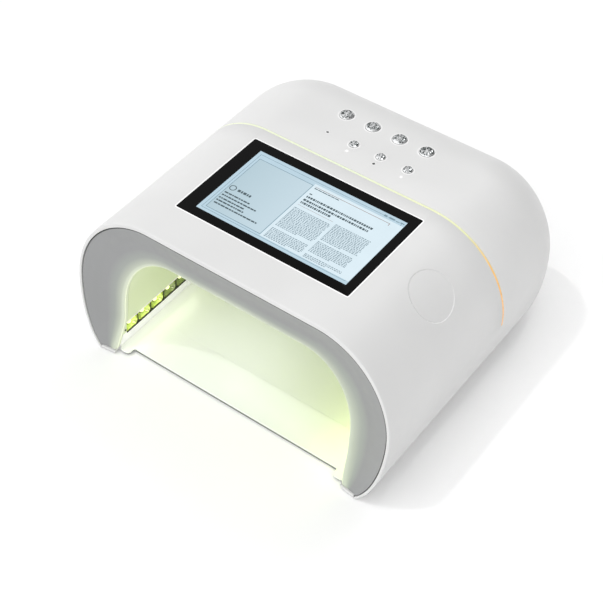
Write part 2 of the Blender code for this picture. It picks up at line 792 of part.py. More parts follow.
def button_profile(radius):
    """Half section of a button: flange under the shell, neck, then a low dome, from below to the tip."""
    flange_low = MAT_TOP + BUTTON_TRAVEL + 0.2
    flange_high = SHELL_TOP - SHELL_WALL - 0.9
    shoulder = SHELL_TOP + 0.35
    profile = [(0.0, flange_low), (radius + 1.1, flange_low), (radius + 1.1, flange_high)]
    profile += [(radius, flange_high), (radius, shoulder)]
    for step in range(1, 4):
        angle = math.pi / 2 * step / 4
        profile.append((radius * math.cos(angle), shoulder + (BUTTON_RISE - 0.35) * math.sin(angle)))
    profile.append((0.0, SHELL_TOP + BUTTON_RISE))
    return profile


def make_button(name, x, y, radius, segments, material):
    def at_place(u, v, w):
        return (x + u, y + v, w)
    return turned(name, button_profile(radius), segments, material, at_place, origin=(x, y, SHELL_TOP))


def make_buttons(materials):
    for number, (x, y) in enumerate(button_places(LARGE_ROW_Y, 0), 1):
        make_button(f"large_button_{number}", x, y, LARGE_RADIUS, 16, materials["button_chrome"])
    for number, (x, y) in enumerate(button_places(SMALL_ROW_Y, 1), 1):
        make_button(f"small_button_{number}", x, y, SMALL_RADIUS, 14, materials["button_chrome"])


def make_indicators(materials):
    low = SHELL_TOP - SHELL_WALL - 1.5
    for number, (x, y) in enumerate(button_places(DOT_ROW_Y, 1), 1):
        outline = circle(DOT_RADIUS, 10)
        plate(f"indicator_lens_{number}", outline, low, SHELL_TOP + 0.05, materials["led_lens"],
              centre=(x, y))
    x, y = button_places(SMALL_ROW_Y, 0)[0]
    plate("light_sensor_lens", circle(DOT_RADIUS, 10), low, SHELL_TOP - 0.3, materials["black_plastic"],
          centre=(x, y))


def make_key_boards(materials):
    """The rubber mat under the buttons, and the board with one switch under each."""
    half_x = 1.5 * BUTTON_PITCH + 10.0
    centre = (0.0, (LARGE_ROW_Y + DOT_ROW_Y) / 2)
    half_y = (LARGE_ROW_Y - DOT_ROW_Y) / 2 + 8.5
    outline = rounded_outline(half_x, half_y, 3.0, 2)
    plate("key_mat", outline, MAT_TOP - 1.4, MAT_TOP, materials["rubber_grey"], centre=centre)
    board_top = MAT_TOP - 3.6
    board = plate("key_board", outline, board_top - 1.6, board_top, materials["circuit_green"],
                  centre=centre)
    switches = [
        ((x - 2.6, y - 2.6, board_top - 0.5), (x + 2.6, y + 2.6, MAT_TOP - 1.8))
        for x, y in button_places(LARGE_ROW_Y, 0) + button_places(SMALL_ROW_Y, 1)
    ]
    boolean(board, boxes_object("key_switches", switches), "UNION")
    return board_top - 1.6


# Rear


def make_rear_panel(material):
    outline = REAR_ARCH.inset(-PANEL_OVERLAP).points(PANEL_FOOT, 3, 6)
    panel = plate("rear_panel", outline, PANEL_FACE - PANEL_THICKNESS, PANEL_FACE, material, facing_rear)
    low = PANEL_FACE - 9
    high = PANEL_FACE + 9
    centres = [VENT_PITCH * (i - (VENT_COUNT - 1) / 2) for i in range(VENT_COUNT)]
    slots = [
        ((x - VENT_WIDTH / 2, low, VENT_LOW), (x + VENT_WIDTH / 2, high, VENT_HIGH))
        for x in centres
    ]
    boolean(panel, boxes_object("cut_vents", slots))
    inlet_hole = INLET_OUTER + GAP
    boolean(panel, rods("cut_inlet", [(INLET_X, INLET_Z)], inlet_hole, low, high, 16, facing_rear))
    shaft_hole = SCREW_SHAFT + SCREW_CLEARANCE
    boolean(panel, rods("cut_panel_screws", rear_screw_places(), shaft_hole, low, high, 12, facing_rear))


def make_power_inlet(materials):
    """Barrel socket, open to the rear, with a centre pin of its own."""
    face = PANEL_FACE + 0.6
    step = PANEL_FACE - PANEL_THICKNESS - GAP
    bottom = face - 9.0
    sleeve = [
        (0.0, face - 16.0),
        (INLET_OUTER + 1.9, face - 16.0),
        (INLET_OUTER + 1.9, step),
        (INLET_OUTER, step),
        (INLET_OUTER, face),
        (INLET_BORE, face),
        (INLET_BORE, bottom),
        (0.0, bottom),
    ]
    pin = [(0.0, bottom + GAP), (1.0, bottom + GAP)]
    pin += [(1.0, face - 1.8), (0.6, face - 1.2), (0.0, face - 1.2)]

    def at_place(u, v, w):
        return (INLET_X + u, w, INLET_Z + v)
    turned("power_inlet", sleeve, 16, materials["black_plastic"], at_place)
    turned("inlet_pin", pin, 10, materials["steel"], at_place)


def make_screw(name, centre, head_top, length, material, place):
    """Pan head screw; place turns (u, v, w) so that w points out of the head."""
    profile = [
        (0.0, head_top - 1.3 - length),
        (SCREW_SHAFT, head_top - 1.3 - length),
        (SCREW_SHAFT, head_top - 1.3),
        (SCREW_HEAD, head_top - 1.3),
        (SCREW_HEAD, head_top - 0.4),
        (SCREW_HEAD * 0.6, head_top),
        (0.0, head_top),
    ]
    return turned(name, profile, 12, material, lambda u, v, w: place(centre, u, v, w))


def make_screws(material):
    def to_rear(centre, u, v, w):
        return (centre[0] + u, w, centre[1] + v)

    def downwards(centre, u, v, w):
        return (centre[0] + u, centre[1] + v, -w)
    for number, centre in enumerate(rear_screw_places(), 1):
        make_screw(f"rear_screw_{number}", centre, REAR - 0.6, SCREW_LENGTH, material, to_rear)
    for number, centre in enumerate(base_screw_places(), 1):
        make_screw(f"base_screw_{number}", centre, -0.1, SCREW_LENGTH, material, downwards)


def make_main_board(materials):
    low = FRONT + 206.0
    board = box_object("main_board", (-58, low, 12), (58, low + 1.6, 68), materials["circuit_green"])
    parts = [
        ((-50, low + 1.0, 40), (-22, low + 12, 62)),
        ((-10, low + 1.0, 44), (8, low + 8, 60)),
        ((18, low + 1.0, 42), (30, low + 5, 62)),
        ((34, low + 1.0, 46), (52, low + 9, 58)),
        ((-46, low + 1.0, 16), (-30, low + 6, 30)),
    ]
    boolean(board, boxes_object("main_board_parts", parts), "UNION")


def ribbon(name, path, half_width, thickness, material):
    """A flat cable along (y, z) points in the plane x = 0."""
    upper = [[(x, y, z + thickness) for x in (-half_width, half_width)] for y, z in path]
    lower = [[(x, y, z) for x in (-half_width, half_width)] for y, z in path]
    return sheet_solid(name, upper, lower, material)


def make_ribbons(display_low, key_low, materials):
    board_face = FRONT + 205.4
    start = GLASS_CENTRE_Y + 25.0
    path = [
        (start, display_low - 1.2),
        (start + 12, display_low - 2.5),
        (FRONT + 150, 101.0),
        (FRONT + 185, 99.0),
        (board_face - 6.0, 94.0),
        (board_face - 3.0, 84.0),
        (board_face - 2.8, 64.0),
    ]
    ribbon("display_cable", path, 9.0, 0.4, materials["black_plastic"])
    start = (LARGE_ROW_Y + SMALL_ROW_Y) / 2
    path = [
        (start, key_low - 0.9),
        (start + 14, key_low - 2.0),
        (FRONT + 198, 104.0),
        (board_face + 9.0, 96.0),
        (board_face + 12.0, 84.0),
        (board_face + 12.0, 72.0),
    ]
    ribbon("key_cable", path, 6.0, 0.4, materials["black_plastic"])


def main():
    remove_all_objects()
    materials = make_materials()
    make_outer_shell(materials["shell_white"])
    make_light_guide(materials)
    make_front_fascia(materials["fascia_grey"])
    make_chamber_walls(materials["liner_white"])
    make_chamber_cove(materials["liner_white"])
    make_chamber_back(materials["liner_white"])
    make_hand_sensor(materials["black_plastic"])
    make_side_leds(-1, "left", materials)
    make_side_leds(1, "right", materials)
    make_top_leds(materials)
    make_base_tray(materials["tray_white"])
    make_tray_catches(materials)
    make_base_frame(materials)
    make_feet(materials["rubber_grey"])
    display_low = make_display(materials)
    make_buttons(materials)
    make_indicators(materials)
    key_low = make_key_boards(materials)
    make_rear_panel(materials["shell_white"])
    make_power_inlet(materials)
    make_screws(materials["steel"])
    make_main_board(materials)
    make_ribbons(display_low, key_low, materials)


main()
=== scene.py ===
"""Looks of a UV curing lamp: fine surfaces, materials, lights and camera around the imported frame.

Lengths are in millimetres until a mesh is made, and MM turns them into metres. The opening faces
-Y, +X is to the right when facing the opening, and +Z is up.
"""

import json
import math
import random

import bmesh
import bpy
from mathutils import Matrix, Vector


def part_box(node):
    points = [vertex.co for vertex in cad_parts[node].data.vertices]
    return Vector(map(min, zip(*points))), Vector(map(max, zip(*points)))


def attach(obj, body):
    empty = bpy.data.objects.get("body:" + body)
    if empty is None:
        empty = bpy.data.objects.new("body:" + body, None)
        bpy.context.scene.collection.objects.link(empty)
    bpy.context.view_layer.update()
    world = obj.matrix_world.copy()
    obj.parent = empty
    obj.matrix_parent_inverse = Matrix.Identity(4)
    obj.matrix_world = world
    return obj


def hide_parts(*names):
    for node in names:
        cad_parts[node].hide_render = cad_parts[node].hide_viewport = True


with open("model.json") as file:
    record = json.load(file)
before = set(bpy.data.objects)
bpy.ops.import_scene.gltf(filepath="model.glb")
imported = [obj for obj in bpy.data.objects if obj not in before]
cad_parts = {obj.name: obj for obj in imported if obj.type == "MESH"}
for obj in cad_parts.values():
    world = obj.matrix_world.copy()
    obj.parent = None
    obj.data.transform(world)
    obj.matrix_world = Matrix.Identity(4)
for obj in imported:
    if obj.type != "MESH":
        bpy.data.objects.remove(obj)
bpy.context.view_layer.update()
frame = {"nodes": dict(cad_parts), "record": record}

MM = 0.001


def span(node):
    """A node's lowest and highest corner, in millimetres."""
    low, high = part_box(node)
    return low / MM, high / MM


def centre_of(node):
    low, high = span(node)
    return (low + high) / 2


# Sizes read from the frame
SHELL_LOW, SHELL_HIGH = span("outer_shell")
GLASS_LOW, GLASS_HIGH = span("touch_glass")
TRAY_LOW, TRAY_HIGH = span("base_tray")
GUIDE_LOW, GUIDE_HIGH = span("light_guide")
PANEL_LOW, PANEL_HIGH = span("rear_panel")
HALF_WIDTH = SHELL_HIGH.x
TOP = SHELL_HIGH.z
FOOT = SHELL_LOW.z
FRONT = SHELL_LOW.y
REAR = SHELL_HIGH.y
LINE_Y = (GUIDE_LOW.y + GUIDE_HIGH.y) / 2
LINE_WIDTH = GUIDE_HIGH.y - GUIDE_LOW.y + 0.1
LINE_LOW = GUIDE_LOW.z

LARGE_BUTTONS = [f"large_button_{i}" for i in range(1, 5)]
SMALL_BUTTONS = [f"small_button_{i}" for i in range(1, 4)]
DOTS = [f"indicator_lens_{i}" for i in range(1, 4)] + ["light_sensor_lens"]
REAR_SCREWS = [f"rear_screw_{i}" for i in range(1, 5)]
BASE_SCREWS = [f"base_screw_{i}" for i in range(1, 3)]
FEET = [f"foot_{end}_{side}" for end in ("front", "rear") for side in ("left", "right")]

# Housing: its sides stand upright at the waist, below it they tuck in
WAIST = 56.8
LOWER_ARC = 60.9
SHELL_TUCK = 28.2
SHELL_FLAT = 65.3
SHELL_WALL = 2.4
FRONT_LEAN = 0.125
REAR_ROUND = 50.0
REAR_TUCK = 12.5
REAR_EDGE = 0.7
RIM_FILLET = 0.8
RIM_INNER_FILLET = 0.4
RIM_GAP = 0.5
RIM_SIDE = 0.85
RIM_CROWN = 1.3
SLOT_DEPTH = 0.9
SLOT_GAP = 0.12
SLOT_SOFT = 0.08

# Front surround, from the housing's rim to the mouth of the chamber
FACE_STEP = 0.7
SKIRT = 2.6
LEG_ROUND = 0.8
LEG_BLEND = 14.0
BEAD_RADIUS = 0.42
LIP_LENGTH = 4.0
MOUTH_HALF_WIDTH = 92.0
MOUTH_FLAT = 52.0
MOUTH_WAIST = 42.0
MOUTH_FLARE = 10.9
MOUTH_DEPTH = 8.0
MOUTH_DEPTH_AT_FLOOR = 2.0
FLOOR_CURVE_HEIGHT = 30.0

# Hand chamber, its side windows and its emitters
LINER_WALL = 1.8
MOUTH_TOP = span("chamber_roof")[1].z - LINER_WALL
CHAMBER_END = span("chamber_cove")[1].y - LINER_WALL
CHAMBER_ROUND = 22.0
WINDOW_LOW = 12.5
WINDOW_HIGH = 22.4
LED_PITCH = 13.5
LED_PLACES = [span("led_row_left")[0].y + 4.8 + LED_PITCH * i for i in range(10)]
WINDOW_START = LED_PLACES[0] - 5.5
WINDOW_END = LED_PLACES[-1] + 6.0
# Cells at the front get the reflectors with brighter painted reflections, the rest a darker copy in painted
# shade.
LIT_CELLS = 3
TOP_LED_HOLE = 3.9
TOP_LED_PLACES = [(26.0 * (i - 2), FRONT + 60.0 + 36.0 * j) for j in range(3) for i in range(5)]

# Base plate
TAB_INNER = 85.6
TAB_ROUND = 3.0
TRAY_CORNER = 24.0
TRAY_FRONT = TRAY_LOW.y + 6.3
TRAY_LINE_Y = FRONT + 41.8
TRAY_LINE_HALF = 74.0
# Half length of the painted shadow strip under the plate's front edge
EDGE_SHADOW_HALF = 84.4

# Buttons, indicators and the ring on the shoulder
LARGE_RADIUS = 5.45
SMALL_RADIUS = 3.65
DOT_RADIUS = 0.85
DOT_GAP = 0.15
BUTTON_GAP = 0.35
GEM_INSET = 0.3
GEM_SKIRT = 0.35
GEM_GIRDLE = 0.75
GEM_RINGS = (0.76, 0.57, 0.36, 0.16)
RING_GAP = 0.12
RING_RADIUS = 17.0
RING_Y = FRONT + 86.4
RING_RUN = 38.3

# Rear panel
VENTS = 9
VENT_PITCH = 8.0
VENT_Z = 47.0
INLET_HOLE = 5.6


def front_y(z):
    """The front leans back as it rises."""
    return FRONT + FRONT_LEAN * (z - FOOT)


def smooth_share(value):
    share = min(max(value, 0.0), 1.0)
    return share * share * (3 - 2 * share)


def mouth_depth(z):
    """How far the mouth lies behind the front: less near the floor."""
    more = MOUTH_DEPTH - MOUTH_DEPTH_AT_FLOOR
    return MOUTH_DEPTH_AT_FLOOR + more * smooth_share(z / FLOOR_CURVE_HEIGHT)


class Arch:
    """Outline across the lamp: an arc up to the waist, an elliptical shoulder and a flat crown."""

    def __init__(self, half_width, top, flat, tuck, waist=WAIST):
        self.half_width = half_width
        self.top = top
        self.flat = flat
        self.tuck = tuck
        self.waist = waist

    def inset(self, distance):
        return Arch(self.half_width - distance, self.top - distance, self.flat, self.tuck, self.waist)

    def side_x(self, z):
        share = (self.waist - z) / LOWER_ARC
        return self.half_width - self.tuck * (1 - math.sqrt(1 - share * share))

    def points(self, foot=FOOT, levels=(), lower_steps=22, shoulder_steps=30, crown_steps=8):
        """(x, z) from the left foot over the crown to the right foot."""
        heights = [foot + (self.waist - foot) * i / lower_steps for i in range(lower_steps)]
        half = [(self.side_x(z), z) for z in sorted(set(heights) | set(levels))]
        for step in range(shoulder_steps + 1):
            angle = math.pi / 2 * step / shoulder_steps
            x = self.flat + (self.half_width - self.flat) * math.cos(angle)
            half.append((x, self.waist + (self.top - self.waist) * math.sin(angle)))
        crown = [(self.flat * (2 * i / crown_steps - 1), self.top) for i in range(1, crown_steps)]
        return [(-x, z) for x, z in half] + crown + half[::-1]


SHELL_ARCH = Arch(HALF_WIDTH, TOP, SHELL_FLAT, SHELL_TUCK)
REAR_ARCH = Arch(HALF_WIDTH - REAR_ROUND, TOP - REAR_ROUND, SHELL_FLAT, REAR_TUCK)
MOUTH_ARCH = Arch(MOUTH_HALF_WIDTH, MOUTH_TOP, MOUTH_FLAT, -MOUTH_FLARE, MOUTH_WAIST)


def rim_arch(distance):
    """The shell's outline moved inwards, a little more at the crown than at the sides."""
    return Arch(HALF_WIDTH - RIM_SIDE * distance, TOP - RIM_CROWN * distance, SHELL_FLAT, SHELL_TUCK)


# Mesh helpers


def object_from(name, shape, angle=None):
    """Turns a bmesh in millimetres into an object, smooth up to an angle in degrees."""
    bmesh.ops.scale(shape, verts=shape.verts, vec=(MM, MM, MM))
    bmesh.ops.recalc_face_normals(shape, faces=shape.faces)
    mesh = bpy.data.meshes.new(name)
    shape.to_mesh(mesh)
    shape.free()
    if angle is not None:
        mesh.shade_smooth()
        mesh.set_sharp_from_angle(angle=math.radians(angle))
    made = bpy.data.objects.new(name, mesh)
    bpy.context.scene.collection.objects.link(made)
    return made


def add_piece(name, shape, look, *nodes, body="lamp_body", angle=35):
    """A piece with one of the LOOKS, that rides on a body and may stand for CAD nodes."""
    piece = object_from(name, shape, angle)
    material, slot = LOOKS[look]
    piece.data.materials.append(material)
    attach(piece, body)
    if nodes:
        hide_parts(*nodes)
    return piece


def cut(piece, *shapes, angle=35):
    """Takes shapes out of a piece."""
    cutters = [object_from("cutter", shape) for shape in shapes]
    for cutter in cutters:
        modifier = piece.modifiers.new("cut", "BOOLEAN")
        modifier.operation = "DIFFERENCE"
        modifier.solver = "EXACT"
        modifier.object = cutter
    graph = bpy.context.evaluated_depsgraph_get()
    mesh = bpy.data.meshes.new_from_object(piece.evaluated_get(graph))
    piece.modifiers.clear()
    old = piece.data
    piece.data = mesh
    bpy.data.meshes.remove(old)
    for cutter in cutters:
        bpy.data.objects.remove(cutter, do_unlink=True)
    mesh.shade_smooth()
    mesh.set_sharp_from_angle(angle=math.radians(angle))


def add_grid(shape, rows, closed=False, values=None):
    """Quads between rows of points. values gives each row's number for the uv map's second axis."""
    layer = shape.loops.layers.uv.verify()
    grid = [[shape.verts.new(point) for point in row] for row in rows]
    marks = values or [0.0] * len(grid)
    last = len(grid) if closed else len(grid) - 1
    for i in range(last):
        k = (i + 1) % len(grid)
        low, high, start, end = grid[i], grid[k], marks[i], marks[k]
        for j in range(len(low) - 1):
            face = shape.faces.new((low[j], low[j + 1], high[j + 1], high[j]))
            left, right = j / (len(low) - 1), (j + 1) / (len(low) - 1)
            for loop, uv in zip(face.loops, ((left, start), (right, start), (right, end), (left, end))):
                loop[layer].uv = uv
    return grid


def close_sides(shape, grid):
    shape.faces.new([row[0] for row in grid])
    shape.faces.new([row[-1] for row in reversed(grid)])


def loop_solid(rows, values=None):
    """A closed ring of rows, with a face at each end of the rows."""
    shape = bmesh.new()
    close_sides(shape, add_grid(shape, rows, closed=True, values=values))
    return shape


def add_tube(shape, rings, joined=False):
    """Walls between closed rings of points. The ends are capped, or meet if joined."""
    rings = [[shape.verts.new(point) for point in ring] for ring in rings]
    count = len(rings[0])
    for low, high in zip(rings, rings[1:] + rings[:1] if joined else rings[1:]):
        for i in range(count):
            j = (i + 1) % count
            shape.faces.new((low[i], low[j], high[j], high[i]))
    if not joined:
        shape.faces.new(rings[0][::-1])
        shape.faces.new(rings[-1])
    return shape


def upright(x=0.0, y=0.0, z=0.0):
    """A place for stacks and turned shapes whose w points up from a point."""
    return lambda u, v, w: (x + u, y + v, z + w)


def rearward(x=0.0, y=0.0, z=0.0):
    """A place whose w points to the rear."""
    return lambda u, v, w: (x + u, y + w, z + v)


def over(node, z=0.0):
    """Upright over a node's centre."""
    centre = centre_of(node)
    return upright(centre.x, centre.y, z)


def behind(node, y):
    """Rearward behind a node's centre."""
    centre = centre_of(node)
    return rearward(centre.x, y, centre.z)


def add_stack(shape, layers, place=upright()):
    """A solid through a stack of (outline, height) with the same number of points in each outline."""
    return add_tube(shape, [[place(u, v, height) for u, v in outline] for outline, height in layers])


def add_prism(shape, outline, low, high, place=upright()):
    return add_stack(shape, [(outline, low), (outline, high)], place)


def add_box(shape, low, high, bevel=0.0):
    size = [b - a for a, b in zip(low, high)]
    centre = [(a + b) / 2 for a, b in zip(low, high)]
    matrix = Matrix.Translation(centre) @ Matrix.Diagonal((*size, 1.0))
    made = bmesh.ops.create_cube(shape, size=1.0, matrix=matrix)
    if bevel:
        edges = list({edge for vert in made["verts"] for edge in vert.link_edges})
        bmesh.ops.bevel(shape, geom=edges, offset=bevel, segments=2, profile=0.5, affect="EDGES")


def add_turned(shape, profile, segments, place):
    """Spins (radius, height) pairs about an axis. A pair with radius 0 closes the shape there."""
    rings = []
    for radius, height in profile:
        outline = circle(radius, segments) if radius else [(0.0, 0.0)]
        rings.append([shape.verts.new(place(a, b, height)) for a, b in outline])
    if profile[0][0] and profile[-1][0]:
        rings.append(rings[0])
    for low, high in zip(rings, rings[1:]):
        for i in range(segments):
            j = (i + 1) % segments
            corners = (low[i % len(low)], low[j % len(low)], high[j % len(high)], high[i % len(high)])
            shape.faces.new(list(dict.fromkeys(corners)))
    return shape


def circle(radius, segments):
    turns = [2 * math.pi * i / segments for i in range(segments)]
    return [(radius * math.cos(a), radius * math.sin(a)) for a in turns]


def arc(centre, radius, start, end, steps):
    """Points on an arc, from one angle to another in degrees."""
    angles = [math.radians(start + (end - start) * step / steps) for step in range(steps + 1)]
    return [(centre[0] + radius * math.cos(a), centre[1] + radius * math.sin(a)) for a in angles]


def rounded_outline(half_x, half_y, radius, steps=8):
    """A rounded rectangle about 0, counter-clockwise."""
    points = []
    for turn, (sign_x, sign_y) in enumerate(((1, 1), (-1, 1), (-1, -1), (1, -1))):
        centre = (sign_x * (half_x - radius), sign_y * (half_y - radius))
        points += arc(centre, radius, 90 * turn, 90 * turn + 90, steps)
    return points


def shrunk(outline, distance):
    """A counter-clockwise outline moved inwards by a distance."""
    moved = []
    for i, (x, y) in enumerate(outline):
        before, here, after = (Vector(outline[k % len(outline)]) for k in (i - 1, i, i + 1))
        normal = Vector((0.0, 0.0))
        for along in (here - before, after - here):
            if along.length > 1e-6:
                along.normalize()
                normal += Vector((-along.y, along.x))
        normal.normalize()
        moved.append((x + normal.x * distance, y + normal.y * distance))
    return moved


def edge_layers(outline, low, high, fillet):
    """Layers of a plate whose upper edge is rounded over."""
    layers = [(outline, low), (outline, high - fillet)]
    for inwards, rise in arc((0.0, 0.0), fillet, 0, 90, 3)[1:]:
        layers.append((shrunk(outline, fillet - inwards), high - fillet + rise))
    return layers


def blend_points(first, second, share):
    return [(a + (c - a) * share, b + (d - b) * share) for (a, b), (c, d) in zip(first, second)]


def flat_row(points, y):
    return [(x, y, z) for x, z in points]


def leaning_row(points, back):
    return [(x, front_y(z) + back, z) for x, z in points]


def rounded_rows(wide, narrow, start, depth, steps):
    """Rows that turn a wide outline into a narrow one over a quarter circle towards the rear."""
    rows = []
    for step in range(steps + 1):
        angle = math.pi / 2 * step / steps
        points = blend_points(wide, narrow, 1 - math.cos(angle))
        rows.append(flat_row(points, start + depth * math.sin(angle)))
    return rows


# Materials


def scaled(colour, factor):
    return tuple(min(channel * factor, 1.0) for channel in colour)


class Nodes:
    """The node tree of a new material or world, with short ways to add the nodes used here."""

    def __init__(self, name, world=False, **inputs):
        self.owner = (bpy.data.worlds if world else bpy.data.materials).new(name)
        self.owner.use_nodes = True
        self.tree = self.owner.node_tree
        self.shader = self.tree.nodes["Background" if world else "Principled BSDF"]
        self.coords = self.add("ShaderNodeTexCoord")
        for key, value in inputs.items():
            self.shader.inputs[key.replace("_", " ")].default_value = value

    def add(self, kind, **inputs):
        node = self.tree.nodes.new(kind)
        for key, value in inputs.items():
            node.inputs[key.replace("_", " ")].default_value = value
        return node

    def link(self, source, target):
        self.tree.links.new(source, target)

    def noise(self, size, detail=2.0):
        """Noise with blobs of about size millimetres."""
        node = self.add("ShaderNodeTexNoise", Scale=1.0 / (size * MM), Detail=detail)
        self.link(self.coords.outputs["Object"], node.inputs["Vector"])
        return node.outputs["Fac"]

    def ramp(self, source, *stops):
        """Each stop is (place, colour), and one number as a colour is a grey."""
        node = self.add("ShaderNodeValToRGB")
        elements = node.color_ramp.elements
        while len(elements) < len(stops):
            elements.new(0.5)
        for element, (place, colour) in zip(elements, stops):
            element.position = place
            element.color = (*colour, 1.0) if isinstance(colour, tuple) else (colour, colour, colour, 1.0)
        self.link(source, node.inputs["Fac"])
        return node.outputs["Color"]

    def ranged(self, source, low, high, from_low=0.0, from_high=1.0):
        inputs = {"From Min": from_low, "From Max": from_high, "To Min": low, "To Max": high}
        node = self.add("ShaderNodeMapRange", **inputs)
        self.link(source, node.inputs["Value"])
        return node.outputs["Result"]

    def axis(self, source, name):
        parts = self.add("ShaderNodeSeparateXYZ")
        self.link(self.coords.outputs[source], parts.inputs["Vector"])
        return parts.outputs[name]

    def along(self, name, low, high):
        """0 to 1 between two places in millimetres along an axis."""
        return self.ranged(self.axis("Object", name), 0.0, 1.0, low * MM, high * MM)

    def mixed(self, factor, first, second, mode="MIX"):
        """Mixes two colours. The factor and the second colour are sockets or plain values."""
        node = self.add("ShaderNodeMix")
        node.data_type = "RGBA"
        node.blend_type = mode
        self.link(first, node.inputs[6])
        for value, socket in ((factor, node.inputs[0]), (second, node.inputs[7])):
            if isinstance(value, bpy.types.NodeSocket):
                self.link(value, socket)
            else:
                socket.default_value = value
        return node.outputs[2]

    def base(self, colour):
        self.link(colour, self.shader.inputs["Base Color"])

    def glow(self, colour, strength):
        self.link(colour, self.shader.inputs["Emission Color"])
        self.shader.inputs["Emission Strength"].default_value = strength

    def drift(self, size, colour, share, detail=2.0):
        """A colour that drifts to a darker share of itself in blobs of a size."""
        return self.ramp(self.noise(size, detail), (0.3, scaled(colour, share)), (0.7, colour))

    def surfaced(self, gloss_size, rough, grain=None, depth=0.0, strength=0.4):
        """Roughness that varies between two levels, and fine grain of a size and depth."""
        level = self.ranged(self.noise(gloss_size, 3.0), *rough, 0.3, 0.7)
        self.link(level, self.shader.inputs["Roughness"])
        if grain:
            bump = self.add("ShaderNodeBump", Strength=strength, Distance=depth * MM)
            self.link(self.noise(grain, 3.0), bump.inputs["Height"])
            self.link(bump.outputs["Normal"], self.shader.inputs["Normal"])
        return self


def moulded(name, colour, rough, grain=0.35, depth=0.02, share=0.97, **inputs):
    """Moulded plastic: fine grain, slow drift in tone and in gloss."""
    nodes = Nodes(name, **inputs)
    nodes.base(nodes.ramp(nodes.noise(45.0, 1.0), (0.35, scaled(colour, share)), (0.65, colour)))
    return nodes.surfaced(6.0, rough, grain, depth)


def metal(name, colour, rough):
    nodes = Nodes(name, Metallic=1.0)
    nodes.base(nodes.drift(3.0, colour, 0.82))
    return nodes.surfaced(0.8, rough, 0.25, 0.008, 0.3)


def lit(name, colour, glow, strength, rough=(0.25, 0.35)):
    """Plastic that glows: the light of the LEDs and indicators, and painted light on the trim, the bead and
    the window edge.
    """
    nodes = moulded(name, colour, rough, 0.3, 0.01)
    nodes.glow(nodes.drift(9.0, glow, 0.92), strength)
    return nodes


def ring_painted_highlight_nodes():
    """The shoulder's ring is painted lighter towards its outer side: a painted highlight on its lower arc.
    """
    nodes = Nodes("ring")
    across = nodes.along("X", 84.0, 118.0)
    nodes.base(nodes.ramp(across, (0.0, 0.66), (0.55, 0.68), (0.9, 0.95), (1.0, 0.97)))
    return nodes.surfaced(3.0, (0.2, 0.3), 0.4, 0.005)


def surround_painted_glow_nodes():
    """Grey that turns to lime at the mouth as a painted glow of the chamber's light, over a wider band on
    the right; painted shadow in the gap at the rim.
    """
    nodes = Nodes("surround")
    share = nodes.axis("UV", "Y")
    # Near black at the rim's edge: painted shadow of the gap between housing and surround.
    gap_shade = ((0.0, (0.06, 0.065, 0.065)), (0.010, (0.11, 0.115, 0.115)), (0.022, (0.300, 0.303, 0.308)))
    # The pale lime stops towards the mouth are painted light from the chamber.
    narrow = nodes.ramp(share, *gap_shade, (0.55, (0.290, 0.294, 0.298)), (0.74, (0.335, 0.355, 0.335)),
                        (0.88, (0.49, 0.53, 0.44)), (0.96, (0.68, 0.73, 0.60)), (1.0, (0.84, 0.88, 0.72)))
    wide = nodes.ramp(share, *gap_shade, (0.48, (0.288, 0.294, 0.294)), (0.66, (0.345, 0.375, 0.335)),
                      (0.82, (0.46, 0.505, 0.415)), (0.95, (0.59, 0.645, 0.52)), (1.0, (0.80, 0.85, 0.68)))
    painted_glow_fade = nodes.mixed(nodes.along("X", 50.0, 95.0), narrow, wide)
    tone = nodes.ramp(nodes.noise(50.0, 1.0), (0.3, 0.97), (0.7, 1.0))
    nodes.base(nodes.mixed(1.0, painted_glow_fade, tone, "MULTIPLY"))
    return nodes.surfaced(5.0, (0.40, 0.50), 0.4, 0.012)


def liner_painted_light_nodes():
    """White below the windows and lime above them, the lime being painted light of the LEDs; towards the
    back wall whiter low down and darker upwards, painted shade under the roof.
    """
    nodes = Nodes("liner")
    depth = nodes.along("Y", FRONT + 150.0, CHAMBER_END)
    height = nodes.along("Z", 0.0, 50.0)
    # The lime wall and the lilac tint of the sill are painted LED light over a white lining.
    wall = (0.75, 0.81, 0.57)
    sill = (0.97, 0.95, 1.0)
    near = nodes.ramp(height, (0.0, 0.95), (0.08, sill), (0.25, sill), (0.27, wall), (1.0, wall))
    # Towards the back: darker upwards, painted shade under the roof.
    far = nodes.ramp(nodes.along("Z", 0.0, 70.0),
                     (0.0, (0.92, 0.93, 0.88)), (0.4, (0.84, 0.87, 0.80)), (1.0, (0.70, 0.74, 0.67)))
    nodes.base(nodes.mixed(depth, near, far))
    # The lining glows: painted light, lilac on the sill and dim lime above.
    painted_dim_glow = (0.20, 0.24, 0.17)
    glow = nodes.ramp(
        height, (0.0, 0.95), (0.24, (0.97, 0.94, 1.0)), (0.27, (0.26, 0.29, 0.20)), (1.0, painted_dim_glow))
    nodes.glow(nodes.mixed(depth, glow, (*painted_dim_glow, 1.0)), 0.14)
    return nodes.surfaced(8.0, (0.30, 0.40), 0.5, 0.01)


def tray_painted_lime_nodes():
    """Nearly white, with painted lime light towards the right."""
    nodes = Nodes("tray")
    nodes.base(nodes.ramp(
        nodes.along("X", -TRAY_HIGH.x, TRAY_HIGH.x), (0.0, (0.90, 0.92, 0.87)), (0.2, (0.895, 0.91, 0.885)),
        (0.45, (0.885, 0.905, 0.87)), (0.75, (0.86, 0.895, 0.81)), (1.0, (0.855, 0.895, 0.81))))
    return nodes.surfaced(6.0, (0.16, 0.24), 0.6, 0.004)


